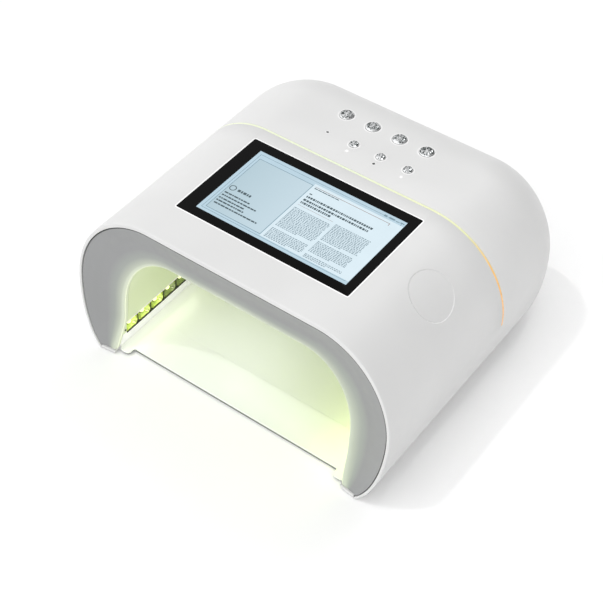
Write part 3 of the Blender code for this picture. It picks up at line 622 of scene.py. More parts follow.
def guide_nodes():
    """Light line: lime on the left and over the top, orange down the right side."""
    nodes = Nodes("light_line")
    colour = nodes.ramp(
        nodes.along("X", -HALF_WIDTH, HALF_WIDTH), (0.0, (0.72, 0.76, 0.56)), (0.5, (0.70, 0.76, 0.56)),
        (0.87, (0.72, 0.74, 0.44)), (0.95, (0.85, 0.54, 0.20)), (1.0, (0.88, 0.52, 0.20)))
    nodes.base(colour)
    nodes.glow(colour, 0.17)
    return nodes.surfaced(2.0, (0.25, 0.35), 0.3, 0.01)


def painted_reflector_nodes(name, tone, strength):
    """A plated bowl with painted reflections of its lime lens: glowing lime patches."""
    nodes = metal(name, tone, (0.14, 0.24))
    painted_reflection_patches = nodes.ramp(nodes.noise(4.0), (0.35, (0.10, 0.14, 0.01)), (0.65, (0.62, 0.80, 0.10)))
    nodes.glow(painted_reflection_patches, strength)
    return nodes


def board_nodes():
    """Circuit board with a mottle of tracks under green lacquer."""
    nodes = Nodes("board")
    nodes.base(nodes.ramp(nodes.noise(1.5, 5.0), (0.45, (0.012, 0.10, 0.045)),
                          (0.52, (0.02, 0.17, 0.08)), (0.70, (0.03, 0.22, 0.10))))
    return nodes.surfaced(2.0, (0.3, 0.5), 0.4, 0.03)


WHITE = (0.95, 0.95, 0.95)
PURE_WHITE = (1.0, 1.0, 1.0)
DOT_GREY = (0.05, 0.055, 0.055)
DULL = {"Specular_IOR_Level": 0.03}
LOOKS = {}
KEPT_LOOKS = {}


def fill_slot(slot, *several):
    """Files materials by name with their slot in the record. CAD nodes kept as they are get its first."""
    for nodes in several:
        LOOKS[nodes.owner.name] = nodes.owner, slot
    KEPT_LOOKS.setdefault(slot, several[0].owner)


fill_slot("shell_white", moulded("shell", (0.70, 0.70, 0.697), (0.36, 0.46), 0.4, 0.012), ring_painted_highlight_nodes(),
          moulded("trim", (0.83, 0.83, 0.825), (0.2, 0.28), 0.5, 0.005),
          lit("trim_painted_glow", WHITE, PURE_WHITE, 0.06, (0.2, 0.28)))
fill_slot("fascia_grey", surround_painted_glow_nodes())
fill_slot("liner_white", liner_painted_light_nodes(), lit("bead_painted_glow", (0.82, 0.86, 0.70), (0.9, 0.95, 0.72), 0.12),
          lit("window_edge_painted_glow", (0.86, 0.83, 0.80), (0.9, 0.86, 0.80), 0.10))
fill_slot("tray_white", tray_painted_lime_nodes())
fill_slot("glass_black", moulded("glass", (0.005, 0.005, 0.005), (0.24, 0.32), 0.25, 0.003, **DULL))
fill_slot("light_guide", guide_nodes())
fill_slot("led_lens", lit("led_glow", (0.9, 0.95, 0.6), (0.90, 1.0, 0.42), 1.25),
          painted_reflector_nodes("reflector", (0.80, 0.92, 0.30), 0.45),
          painted_reflector_nodes("reflector_painted_shade", (0.40, 0.46, 0.24), 0.14),
          lit("top_glow", (0.9, 0.95, 0.8), (0.95, 1.0, 0.80), 2.5),
          lit("dot_white", WHITE, PURE_WHITE, 0.25), moulded("dot_dark", DOT_GREY, (0.3, 0.4)))
fill_slot("black_plastic", moulded("black", (0.030, 0.030, 0.032), (0.42, 0.55), 0.5, 0.03),
          moulded("led_frame", (0.030, 0.036, 0.020), (0.3, 0.4)),
          moulded("pin_hole", DOT_GREY, (0.3, 0.4)))
fill_slot("button_chrome", metal("chrome", (0.86, 0.87, 0.88), (0.08, 0.16)),
          metal("chrome_painted_grey_reflection", (0.36, 0.38, 0.38), (0.10, 0.18)),
          metal("chrome_painted_dark_reflection", (0.045, 0.055, 0.055), (0.10, 0.18)))
# The second look is not rubber but a dark painted shadow under the plate's front edge.
fill_slot("rubber_grey", moulded("rubber", (0.17, 0.17, 0.17), (0.75, 0.88), 0.6, 0.06, 0.85),
          moulded("edge_painted_shadow", (0.17, 0.185, 0.15), (0.6, 0.75), 0.5, 0.03))
fill_slot("steel", metal("plating", (0.62, 0.62, 0.64), (0.2, 0.34)))
fill_slot("circuit_green", board_nodes())
KEPT_LOOKS["lcd_blue"] = KEPT_LOOKS["glass_black"]


def dress_kept_nodes():
    for part in frame["record"]["subparts"]:
        for slot in frame["nodes"][part["node"]].material_slots:
            slot.material = KEPT_LOOKS[part["material_slot"]]


# Housing


def rim_section():
    """(inset, distance back) round the front rim, from inside the shell to its outer surface."""
    section = [(SHELL_WALL, 7.0), (SHELL_WALL, 2.0)]
    section += arc((SHELL_WALL - RIM_INNER_FILLET, RIM_INNER_FILLET), RIM_INNER_FILLET, 0, -90, 3)
    section += arc((RIM_FILLET, RIM_FILLET), RIM_FILLET, -90, -180, 5)
    return section + [(0.0, RIM_FILLET + 1.0)]


def shell_rows():
    """Rows of the housing's skin, from the rim over the outside to the rear and back along the inside."""
    levels = (LINE_LOW - 0.25, LINE_LOW, LINE_LOW + 0.25)

    def outline(arch):
        return arch.points(levels=levels)

    rows = [leaning_row(outline(rim_arch(inset)), back) for inset, back in rim_section()]
    wide = outline(SHELL_ARCH)
    rows += [flat_row(wide, FRONT + y) for y in (30.0, 60.0, 90.0, 120.0)]

    edge = LINE_WIDTH / 2 + SLOT_GAP
    deep = outline(SHELL_ARCH.inset(SLOT_DEPTH))
    soft = outline(SHELL_ARCH.inset(SLOT_SOFT))
    for offset, slot in ((-edge - 0.15, wide), (-edge - 0.03, soft), (-edge, deep),
                         (edge, deep), (edge + 0.03, soft), (edge + 0.15, wide)):
        points = [inner if outer[1] >= LINE_LOW else outer for outer, inner in zip(wide, slot)]
        rows.append(flat_row(points, LINE_Y + offset))
    start = REAR - REAR_ROUND
    rows.append(flat_row(wide, (LINE_Y + start) / 2))

    rows += rounded_rows(wide, outline(REAR_ARCH.inset(-REAR_EDGE)), start, REAR_ROUND, 22)
    for degrees in (25, 50, 75, 90):
        angle = math.radians(degrees)
        points = outline(REAR_ARCH.inset(-REAR_EDGE * (1 - math.sin(angle))))
        rows.append(flat_row(points, REAR - REAR_EDGE + REAR_EDGE * math.cos(angle)))
    inside = outline(SHELL_ARCH.inset(SHELL_WALL))
    return rows + rounded_rows(inside, outline(REAR_ARCH), start, REAR_ROUND - SHELL_WALL, 10)[::-1]


def make_shell():
    shell = add_piece("housing_shell", loop_solid(shell_rows()), "shell", "outer_shell")

    half = (GLASS_HIGH - GLASS_LOW) / 2
    openings = [(["touch_glass"], rounded_outline(half.x + 0.3, half.y + 0.3, 1.0, 4))]
    for nodes, radius in ((LARGE_BUTTONS, LARGE_RADIUS + BUTTON_GAP),
                          (SMALL_BUTTONS, SMALL_RADIUS + BUTTON_GAP), (DOTS, DOT_RADIUS + DOT_GAP)):
        openings.append((nodes, circle(radius, 40)))
    shapes = []
    for nodes, outline in openings:
        shape = bmesh.new()
        for node in nodes:
            add_prism(shape, outline, TOP - 9.0, TOP + 3.0, over(node))
        shapes.append(shape)
    screws = bmesh.new()
    head, shaft = circle(3.2, 32), circle(1.8, 32)
    for node in REAR_SCREWS:
        add_stack(screws, [(shaft, -8.0), (shaft, -2.2), (head, -2.2), (head, 2.0)], behind(node, REAR))
    groove = shoulder_ring((-0.42, 0.5), (-0.42, 0.02), (-0.26, -0.3), (0.46, -0.3), (0.46, 0.5))
    cut(shell, *shapes, screws, groove)


def make_light_line():
    half = LINE_WIDTH / 2
    rows = []
    for inset, y in ((SLOT_DEPTH, -half), (0.15, -half), (0.03, -half + 0.12), (0.0, 0.0),
                     (0.03, half - 0.12), (0.15, half), (SLOT_DEPTH, half)):
        points = SHELL_ARCH.inset(inset).points(foot=LINE_LOW, levels=(LINE_LOW + 0.3,), lower_steps=3)
        rows.append(flat_row(points, LINE_Y + y))
    add_piece("light_line", loop_solid(rows), "light_line", "light_guide")


def spline(knots, steps):
    """Points on a smooth curve through the knots, without the last knot."""
    points = []
    last = len(knots) - 1
    for i in range(last):
        corners = (knots[max(i - 1, 0)], knots[i], knots[i + 1], knots[min(i + 2, last)])
        for step in range(steps):
            t = step / steps
            point = []
            for a, b, c, d in zip(*corners):
                bend = (2 * a - 5 * b + 4 * c - d) * t * t + (3 * b - a - 3 * c + d) * t * t * t
                point.append(0.5 * (2 * b + (c - a) * t + bend))
            points.append(tuple(point))
    return points


def surround_profile(width, depth):
    """(distance inwards, distance back) over the dished face, then over its back."""
    def dish(share):
        return FACE_STEP + share * (depth - FACE_STEP)

    turn_x, turn_y = 2.0, 2.2
    face = [(0.0, FACE_STEP + 2.2), (0.0, FACE_STEP + 0.25), (0.08, FACE_STEP + 0.07)]
    face += spline([(0.3, FACE_STEP), (0.22 * width, dish(0.30)), (0.45 * width, dish(0.60)),
                    (width - 4.4, dish(0.93)), (width - turn_x, depth)], 6)
    for degrees in range(0, 91, 15):
        angle = math.radians(degrees)
        face.append((width - turn_x + turn_x * math.sin(angle), depth + turn_y - turn_y * math.cos(angle)))
    face.append((width, depth + LIP_LENGTH))
    back = [(width - LINER_WALL, depth + LIP_LENGTH), (width - LINER_WALL, depth + 3.2),
            (0.45 * width, dish(0.60) + LINER_WALL), (0.3, FACE_STEP + 2.6)]
    return face, back


def corner_rise(inwards):
    """How far a leg's bottom rises in a quarter circle towards its inner corner."""
    near = min(max(LEG_ROUND - inwards, 0.0), LEG_ROUND)
    return LEG_ROUND - math.sqrt(LEG_ROUND * LEG_ROUND - near * near)


def make_surround():
    foot = FOOT + SKIRT
    columns = []
    for start, end in zip(rim_arch(SHELL_WALL + RIM_GAP).points(foot=foot), MOUTH_ARCH.points(foot=foot)):
        width = math.hypot(end[0] - start[0], end[1] - start[1])
        face, back = surround_profile(width, mouth_depth(end[1]))
        columns.append((start, end, width, face + back))
    rows = []
    for index in range(len(face) + len(back)):
        row = []
        for start, end, width, section in columns:
            inwards, backwards = section[index]
            share = inwards / width
            x = start[0] + (end[0] - start[0]) * share
            z = start[1] + (end[1] - start[1]) * share
            z += corner_rise(width - inwards) * min(max(1 - (z - foot) / LEG_BLEND, 0.0), 1.0)
            row.append((x, front_y(z) + backwards, z))
        rows.append(row)
    _, _, width, section = columns[len(columns) // 2]
    values = [min(inwards / width, 1.0) for inwards, _ in section[:len(face)]] + [0.5] * len(back)
    add_piece("front_surround", loop_solid(rows, values), "surround", "front_fascia")


def make_skirt():
    """The white lip under each leg of the surround, from the shell's rim round the inner corner."""
    inner = MOUTH_ARCH.side_x(FOOT + SKIRT) + 0.15
    width = rim_arch(SHELL_WALL).side_x(FOOT) + 0.2 - inner
    corner = LEG_ROUND + 0.6
    steps = 24
    for side, sign in (("left", -1), ("right", 1)):
        rings = []
        for step in range(steps + 1):
            from_inner = width * (step / steps) ** 2
            near = max(corner - from_inner, 0.0) / corner
            low = FOOT + 0.9 * corner * (1 - math.sqrt(1 - near * near))
            top = max(FOOT + SKIRT - 0.3 + corner_rise(from_inner), low + 0.35)
            back = 0.15 + 0.5 * mouth_depth(FOOT) * smooth_share(1 - from_inner / width)
            section = ((back + 0.5, low), (back + 0.1, low + 0.15), (back, low + 0.45), (back, top - 0.3),
                       (back + 0.25, top), (back + 5.0, top), (back + 5.0, low))
            rings.append([(sign * (inner + from_inner), front_y(z) + y, z) for y, z in section])
        shape = add_tube(bmesh.new(), rings)
        add_piece(f"leg_skirt_{side}", shape, "shell")


def make_lip():
    """A slim bead along the inner edge of the surround, bright with a painted glow of the chamber's light.
    """
    foot = FOOT + SKIRT + LEG_ROUND
    mouth = MOUTH_ARCH.points(foot=foot)
    inside = MOUTH_ARCH.inset(1.0).points(foot=foot)
    rows = []
    for across, back in circle(BEAD_RADIUS, 8):
        row = []
        for (_, z), (px, pz) in zip(mouth, blend_points(mouth, inside, across - 0.15)):
            row.append((px, front_y(z) + mouth_depth(z) + 1.6 + back, pz))
        rows.append(row)
    add_piece("mouth_bead", loop_solid(rows), "bead_painted_glow", angle=80)


# Chamber


def make_liner():
    mouth = MOUTH_ARCH.points()
    end = MOUTH_ARCH.inset(CHAMBER_ROUND).points()
    sheets = []
    for wall in (0.0, LINER_WALL):
        outline = MOUTH_ARCH.inset(-wall).points()
        front = [(x, front_y(z) + mouth_depth(z) + LIP_LENGTH + 0.3, pz)
                 for (x, pz), (_, z) in zip(outline, mouth)]
        sheet = [front] + [flat_row(outline, FRONT + y) for y in (40.0, 80.0, 120.0)]
        sheet += rounded_rows(outline, end, CHAMBER_END - CHAMBER_ROUND, CHAMBER_ROUND + wall, 12)
        sheets.append(sheet)
    inner, outer = sheets
    shape = bmesh.new()
    grid = add_grid(shape, outer[::-1] + inner)
    # The back wall closes the outer and the inner end, and strips close the edges on the floor.
    shape.faces.new(grid[0])
    shape.faces.new(grid[-1][::-1])
    close_sides(shape, grid)
    shape.faces.new((grid[0][0], grid[0][-1], grid[-1][-1], grid[-1][0]))
    liner = add_piece("chamber_lining", shape, "liner", "chamber_wall_left", "chamber_wall_right",
                      "chamber_roof", "chamber_cove", "chamber_back")

    windows = bmesh.new()
    for sign in (-1, 1):
        side_box(windows, sign, MOUTH_HALF_WIDTH - 8.0, MOUTH_HALF_WIDTH + 8.0,
                 (WINDOW_START, WINDOW_LOW), (WINDOW_END, WINDOW_HIGH))
    roof = bmesh.new()
    low, high = MOUTH_TOP - 3.0, MOUTH_TOP + 4.0
    for x, y in TOP_LED_PLACES:
        add_prism(roof, circle(TOP_LED_HOLE, 32), low, high, upright(x, y))
    add_prism(roof, rounded_outline(7.4, 4.4, 1.5, 6), low, high, over("hand_sensor_window"))
    cut(liner, windows, roof)


def side_box(shape, sign, near, far, low, high, bevel=0.0):
    """A box in a side wall, from (y, z) to (y, z) and between two distances from the middle."""
    left, right = sorted((sign * near, sign * far))
    add_box(shape, (left, *low), (right, *high), bevel)


def make_side_leds():
    middle = (WINDOW_LOW + WINDOW_HIGH) / 2
    half = (WINDOW_HIGH - WINDOW_LOW) / 2
    wall = MOUTH_ARCH.side_x(middle)
    back = wall + 4.4
    # Half length and half height of the bowl's outline, and its depth behind the wall
    bowl = ((6.3, half + 0.2, 4.2), (6.45, half + 0.2, 0.7), (6.2, half, 0.7), (5.9, half - 0.5, 1.4),
            (5.0, half - 1.1, 2.4), (3.8, half - 1.7, 3.2), (2.6, half - 2.3, 3.7))
    bowl = [(rounded_outline(y, z, min(y, z) * 0.8), -depth) for y, z, depth in bowl]
    dome = [(0.0, -3.4), (1.9, -3.4)]
    dome += [(1.9 * math.cos(a), 1.5 * math.sin(a) - 3.1) for a in (0.0, 0.35, 0.7, 1.05, 1.35)]
    dome.append((0.0, -1.6))
    ring = [(1.95, -3.5), (2.6, -3.5), (2.6, -3.0), (2.3, -2.75), (1.95, -2.9)]
    dot = [(0.0, 0.0), (0.85, 0.0), (0.85, 0.5), (0.6, 0.75), (0.0, 0.85)]
    dot_y, dot_z = WINDOW_START - 1.3, 16.0
    for side, sign in (("left", -1), ("right", 1)):

        def inwards(x, y, z):
            """A place on this side whose w points from the wall into the chamber."""
            return lambda u, v, w: (sign * (x - w), y + u, z + v)

        strip = bmesh.new()
        side_box(strip, sign, back - 0.2, back + 0.9, (WINDOW_START - 1.0, WINDOW_LOW - 1.5),
                 (WINDOW_END + 1.0, WINDOW_HIGH + 1.5), 0.2)
        for y in LED_PLACES[1:]:
            rib = y - LED_PITCH / 2
            side_box(strip, sign, wall + 0.1, back - 0.3,
                     (rib - 0.24, WINDOW_LOW), (rib + 0.24, WINDOW_HIGH), 0.08)
        side_box(strip, sign, wall - 0.15, wall + 2.2, (WINDOW_START, WINDOW_LOW - 0.2),
                 (WINDOW_END, WINDOW_LOW + 0.25), 0.1)
        add_piece(f"led_strip_{side}", strip, "led_frame", f"led_row_{side}", angle=30)

        # A cream edge over each window, glowing with painted light of the LEDs.
        edge = bmesh.new()
        side_box(edge, sign, wall - 0.6, wall + 2.5, (WINDOW_START, WINDOW_HIGH - 0.15),
                 (WINDOW_END, WINDOW_HIGH + 1.1), 0.3)
        add_piece(f"led_window_edge_{side}", edge, "window_edge_painted_glow")

        bowls, lenses, rings, dots = (bmesh.new() for _ in range(4))
        for number, y in enumerate(LED_PLACES):
            place = inwards(wall, y, middle)
            done = len(bowls.faces)
            add_stack(bowls, bowl, place)
            bowls.faces.ensure_lookup_table()
            for face in bowls.faces[done:]:
                # Cells after the lit ones take the darker copy: painted shade.
                face.material_index = int(number >= LIT_CELLS)
            add_turned(lenses, dome, 28, place)
            add_turned(rings, ring, 28, place)
        add_turned(dots, dot, 20, inwards(MOUTH_ARCH.side_x(dot_z) + 0.35, dot_y, dot_z))
        reflectors = add_piece(f"reflectors_{side}", bowls, "reflector", angle=50)
        reflectors.data.materials.append(LOOKS["reflector_painted_shade"][0])
        add_piece(f"led_lenses_{side}", lenses, "led_glow", angle=50)
        add_piece(f"led_rings_{side}", rings, "led_frame", angle=50)
        add_piece(f"wall_dot_{side}", dots, "led_frame", angle=50)


def make_top_leds():
    base = MOUTH_TOP + LINER_WALL + 0.7
    radius = 3.4
    profile = [(0.0, 0.0), (radius, 0.0)]
    for angle in (0.0, 0.26, 0.52, 0.78, 1.05, 1.3):
        profile.append((radius * math.cos(angle), -1.0 - 1.8 * math.sin(angle)))
    profile.append((0.0, -2.8))
    domes = bmesh.new()
    for x, y in TOP_LED_PLACES:
        add_turned(domes, profile, 32, upright(x, y, base))
    low, high = span("led_row_top")
    plate = bmesh.new()
    outline = rounded_outline((high.x - low.x) / 2, (high.y - low.y) / 2, 3.0, 6)
    add_prism(plate, outline, base + 0.01, base + 0.8, upright(0.0, (low.y + high.y) / 2))
    add_piece("led_domes_top", domes, "top_glow", "led_row_top", angle=50)
    add_piece("led_plate_top", plate, "liner")


# Base plate


def tray_outline():
    """The plate's outline, with a tab that stands out in front at each side."""
    half = TRAY_HIGH.x + 0.44
    side = [(TAB_INNER - across, TRAY_FRONT - out) for across, out in
            ((1.6, 0.0), (0.9, 0.15), (0.35, 0.55), (0.05, 1.1), (0.0, 1.6))]
    side += arc((TAB_INNER + TAB_ROUND, TRAY_LOW.y + TAB_ROUND), TAB_ROUND, 180, 270, 8)
    side += arc((half - TAB_ROUND, TRAY_LOW.y + TAB_ROUND), TAB_ROUND, 270, 360, 8)
    side += arc((half - TRAY_CORNER, TRAY_HIGH.y - TRAY_CORNER), TRAY_CORNER, 0, 90, 14)
    return side + [(-x, y) for x, y in reversed(side)]


def make_tray():
    outline = tray_outline()
    low, high = TRAY_LOW.z, TRAY_HIGH.z
    foot = shrunk(outline, 1.4)
    shape = bmesh.new()
    add_stack(shape, [(foot, low), (foot, low + 1.3), (shrunk(outline, 0.3), low + 1.45)]
              + edge_layers(outline, low + 1.6, high, 0.15))
    tray = add_piece("base_plate", shape, "tray", "base_tray", body="tray", angle=40)
    line = bmesh.new()
    add_box(line, (-TRAY_LINE_HALF, TRAY_LINE_Y - 0.25, high - 0.12),
            (TRAY_LINE_HALF, TRAY_LINE_Y + 0.25, high + 1.0))
    cut(tray, line, angle=40)

    # A dark strip along the front edge and a dark core in the gap under the plate: painted shadow under its
    # edge.
    strip = bmesh.new()
    add_box(strip, (-EDGE_SHADOW_HALF, TRAY_FRONT + 0.02, low + 0.1),
            (EDGE_SHADOW_HALF, TRAY_FRONT + 1.2, low + 1.42), 0.1)
    add_prism(strip, shrunk(outline, 0.7), low + 0.15, low + 1.5)
    add_piece("plate_edge_painted_shadow", strip, "edge_painted_shadow", body="tray", angle=30)


# Display: a made-up picture with bars for words, measured from the lit area's lower left corner


LIT_LOW = Vector((-56.0, FRONT + 51.7))
LIT_SIZE = Vector((116.2, 67.0))
PAPER = (0.73, 0.86, 0.93)
PANE_LEFT = (0.47, 0.61, 0.68)
PANE_RIGHT = (0.58, 0.715, 0.79)
PANE_EDGE = (0.52, 0.68, 0.78)
INK = (0.10, 0.14, 0.16)
BLUE_INK = (0.25, 0.37, 0.44)
GREY_INK = (0.27, 0.37, 0.43)
FRAME_INK = (0.24, 0.36, 0.43)
RULE = (0.36, 0.25, 0.22)
WORD_GAP = 0.42
TEXT_PITCH = 1.24
TEXT_HEIGHT = 0.64
TEXT_LONGEST = 1.9
TEXT_GAP = 0.55
PICTURE_SEED = 11


def add_picture(name, shape, colour, strength=0.5, second=None):
    """Part of the lit picture: partly lit from behind, partly by the room."""
    nodes = Nodes(name, **DULL)
    if second:
        source = nodes.along("X", LIT_LOW.x, LIT_LOW.x + LIT_SIZE.x * 0.45)
        stops = ((0.0, colour), (1.0, second))
    else:
        source = nodes.noise(12.0, 1.0)
        stops = ((0.3, scaled(colour, 0.97)), (0.7, colour))
    nodes.base(nodes.ramp(source, *((place, scaled(tone, 0.45)) for place, tone in stops)))
    nodes.glow(nodes.ramp(source, *stops), strength)
    fill_slot("lcd_blue", nodes.surfaced(4.0, (0.20, 0.28)))
    add_piece(name, shape, name, angle=None)


def add_plates(name, boxes, height, *colours):
    """Thin plates over the glass; each box is (u0, v0, u1, v1)."""
    shape = bmesh.new()
    for u0, v0, u1, v1 in boxes:
        add_box(shape, (LIT_LOW.x + u0, LIT_LOW.y + v0, GLASS_HIGH.z - 0.2),
                (LIT_LOW.x + u1, LIT_LOW.y + v1, GLASS_HIGH.z + height))
    add_picture("picture_" + name, shape, *colours)


def frame_boxes(u0, v0, u1, v1, line):
    return [(u0, v0, u1, v0 + line), (u0, v1 - line, u1, v1), (u0, v0 + line, u0 + line, v1 - line),
            (u1 - line, v0 + line, u1, v1 - line)]


def word_boxes(rng, u0, u1, v, height, longest, gap=WORD_GAP):
    """A line of bars of different lengths with gaps between them."""
    boxes = []
    u = u0
    while u < u1 - 0.6:
        length = min(rng.uniform(0.3, 1.0) * longest, u1 - u)
        boxes.append((u, v, u + length, v + height))
        u += length + gap
    return boxes


def text_boxes(rng, u0, v0, u1, v1):
    """Lines of small bars; the last line is shorter."""
    boxes = []
    v = v1 - TEXT_HEIGHT
    while v > v0:
        end = u1 if v - TEXT_PITCH > v0 else u0 + (u1 - u0) * 0.6
        boxes += word_boxes(rng, u0, end, v, TEXT_HEIGHT, TEXT_LONGEST, TEXT_GAP)
        v -= TEXT_PITCH
    return boxes


def make_display():
    half = (GLASS_HIGH - GLASS_LOW) / 2
    over_glass = over("touch_glass")
    shape = bmesh.new()
    add_stack(shape, edge_layers(rounded_outline(half.x, half.y, 0.8, 6), GLASS_LOW.z, GLASS_HIGH.z, 0.18),
              over_glass)
    add_piece("display_glass", shape, "glass", "touch_glass")

    rings = []
    for margin, radius, height in ((0.95, 1.6, -0.35), (0.95, 1.6, 0.03), (0.35, 1.1, 0.16),
                                   (0.12, 0.9, 0.02), (0.12, 0.9, -0.35)):
        outline = rounded_outline(half.x + margin, half.y + margin, radius)
        rings.append([over_glass(x, y, TOP + height) for x, y in outline])
    shape = add_tube(bmesh.new(), rings, joined=True)
    # The trim glows white: a painted highlight round the display.
    add_piece("display_edge_trim", shape, "trim_painted_glow")

    rng = random.Random(PICTURE_SEED)
    width, height = LIT_SIZE
    add_plates("ground", [(0.0, 0.0, width, height)], 0.02, PANE_EDGE)
    add_plates("pane", [(4.9, 4.6, 47.5, 60.0)], 0.035, PANE_LEFT, 0.5, PANE_RIGHT)
    add_plates("page", [(48.2, 3.2, width - 0.2, 62.2)], 0.035, PAPER)
    lines = frame_boxes(2.4, 2.2, width - 2.4, 64.4, 0.3) + frame_boxes(4.4, 4.1, 48.0, 60.5, 0.4)
    add_plates("frame_lines", lines, 0.03, FRAME_INK, 0.4)
    rules = [(50.0, 59.6, 107.7, 59.95), (107.3, 57.7, 107.7, 59.6), (50.5, 39.9, 78.0, 40.1)]
    add_plates("rules", rules, 0.05, RULE, 0.4)

    ink = word_boxes(rng, 50.2, 70.0, 58.1, 0.7, 4.0)
    for u1, v in ((101.6, 48.4), (101.0, 45.0), (74.0, 42.0)):
        ink += word_boxes(rng, 50.7, u1, v, 1.8, 1.9, 0.48)
    ink += [(50.6, 52.0, 52.6, 52.9)]
    ink += word_boxes(rng, 12.0, 22.6, 26.6, 2.1, 2.4, 0.6)
    for u1, v in ((26.0, 21.2), (33.1, 18.3), (26.5, 15.3), (27.5, 12.6)):
        ink += word_boxes(rng, 5.9, u1, v, 1.2, 3.2)
    ink += word_boxes(rng, 6.3, 40.4, 9.7, 1.2, 3.6)
    add_plates("headings", ink, 0.05, INK, 0.4)

    text = []
    for block in ((50.4, 16.3, 78.4, 37.0), (50.4, 3.9, 78.0, 13.8), (80.7, 22.4, 107.4, 39.4),
                  (80.7, 9.4, 107.2, 20.6), (80.7, 3.8, 108.3, 7.4)):
        text += text_boxes(rng, *block)
    add_plates("text", text, 0.045, GREY_INK, 0.35)

    badge = bmesh.new()
    place = upright(LIT_LOW.x + 8.0, LIT_LOW.y + 27.6, GLASS_HIGH.z)
    add_tube(badge, [[place(x, y, level) for x, y in circle(radius, 40)] for radius, level in
                     ((1.9, -0.1), (2.5, -0.1), (2.5, 0.05), (1.9, 0.05))], joined=True)
    add_picture("picture_badge", badge, INK, 0.3)
    marks = [(100.2, 63.6, 102.4, 65.2), (104.0, 63.7, 108.2, 65.1), (109.4, 63.7, 111.4, 64.4),
             (112.4, 64.2, 115.2, 65.0)]
    add_plates("marks", marks, 0.05, BLUE_INK, 0.4)


# Buttons


def add_gem(shape, radius, low, rise, sides, centre):
    """A faceted cap: a skirt, rings of slanted facets and a flat table. Returns (face, ring number)."""
    levels = [(1.0, low, 0.0), (1.0, TOP + GEM_SKIRT, 0.0), (0.93, TOP + GEM_GIRDLE, 0.0)]
    for number, share in enumerate(GEM_RINGS, 1):
        height = TOP + GEM_GIRDLE + (rise - GEM_GIRDLE) * math.sqrt(1 - share * share)
        levels.append((share, height, 0.5 * (number % 2)))
    rings = []
    for share, height, turn in levels:
        ring = []
        for i in range(sides):
            angle = 2 * math.pi * (i + turn) / sides
            x, y = radius * share * math.cos(angle), radius * share * math.sin(angle)
            ring.append(shape.verts.new((centre.x + x, centre.y + y, height)))
        rings.append(ring)
    faces = []
    for kind, (outer, inner) in enumerate(zip(rings, rings[1:])):
        for i in range(sides):
            j = (i + 1) % sides
            if kind < 2:
                facets = [(outer[i], outer[j], inner[j], inner[i])]
            elif kind % 2:
                facets = [(outer[i], outer[j], inner[j]), (outer[i], inner[j], inner[i])]
            else:
                facets = [(outer[i], outer[j], inner[i]), (outer[j], inner[j], inner[i])]
            faces += [(shape.faces.new(corners), kind) for corners in facets]
    shape.faces.new(rings[0][::-1])
    faces.append((shape.faces.new(rings[-1]), len(rings)))
    return faces


# Share of facets with a painted dark reflection up to an angle in degrees: most to the rear left and to the
# right
FACET_PAINTED_REFLECTIONS = ((20, 0.75), (60, 0.7), (100, 0.45), (150, 0.6), (235, 0.95), (310, 0.2), (360, 0.75))
GREY_REFLECTION_SHARE = 0.28
FACET_SEED = 5


def facet_painted_reflection(face, kind, centre, rng):
    """0 bright, 1 grey, 2 dark: painted reflections. The skirt is bright and the innermost facets are a
    little brighter.
    """
    if kind < 2:
        return 0
    middle = face.calc_center_median()
    angle = math.degrees(math.atan2(middle.y - centre.y, middle.x - centre.x)) % 360
    dark = 0.5 * next(value for limit, value in FACET_PAINTED_REFLECTIONS if angle < limit)
    if kind > 4:
        dark *= 0.7
    value = rng.random()
    if value < dark:
        return 2
    return 1 if value < dark + GREY_REFLECTION_SHARE else 0


def add_collar(shape, node, hole, profile, segments):
    """A slim ring round a hole, from (distance outside the hole, height over the housing) pairs."""
    add_turned(shape, [(hole + out, height) for out, height in profile], segments, over(node, TOP))


def make_buttons():
    rng = random.Random(FACET_SEED)
    collars = bmesh.new()
    profile = [(0.0, -0.6), (0.0, 0.02), (0.2, 0.16), (0.7, 0.16), (1.1, 0.0), (1.1, -0.6)]
    for nodes, radius, sides in ((LARGE_BUTTONS, LARGE_RADIUS, 18), (SMALL_BUTTONS, SMALL_RADIUS, 14)):
        for node in nodes:
            centre = centre_of(node)
            shape = bmesh.new()
            facets = add_gem(shape, radius - GEM_INSET, TOP - 2.0, span(node)[1].z - TOP, sides, centre)
            for face, kind in facets:
                face.material_index = facet_painted_reflection(face, kind, centre, rng)
            cap = add_piece(node + "_gem", shape, "chrome", node, body=node + "_cap", angle=None)
            # Grey and dark chrome copies paint reflections into the facets.
            for shade in ("chrome_painted_grey_reflection", "chrome_painted_dark_reflection"):
                cap.data.materials.append(LOOKS[shade][0])
            add_collar(collars, node, radius - GEM_INSET + RING_GAP, profile, 48)
    add_piece("button_rings", collars, "trim", angle=50)


def make_dots():
    dome = [(0.0, -2.0), (1.0, -2.0), (1.0, 0.0), (0.8, 0.1), (0.4, 0.14), (0.0, 0.15)]
    dish = [(0.0, -2.5), (1.0, -2.5), (1.0, -0.5), (0.5, -0.35), (0.0, -0.3)]
    collars = bmesh.new()
    collar = [(0.0, -0.5), (0.0, 0.02), (0.12, 0.1), (0.35, 0.08), (0.5, 0.0), (0.5, -0.5)]
    for node, (name, profile, look) in zip(DOTS, (
            ("indicator_1", dome, "dot_white"), ("indicator_2", dome, "dot_dark"),
            ("indicator_3", dome, "dot_white"), ("light_sensor", dish, "pin_hole"))):
        shape = bmesh.new()
        add_turned(shape, [(share * DOT_RADIUS, height) for share, height in profile], 24, over(node, TOP))
        add_piece(name, shape, look, node, angle=50)
        add_collar(collars, node, DOT_RADIUS + DOT_GAP, collar, 28)
    add_piece("indicator_rings", collars, "trim", angle=50)


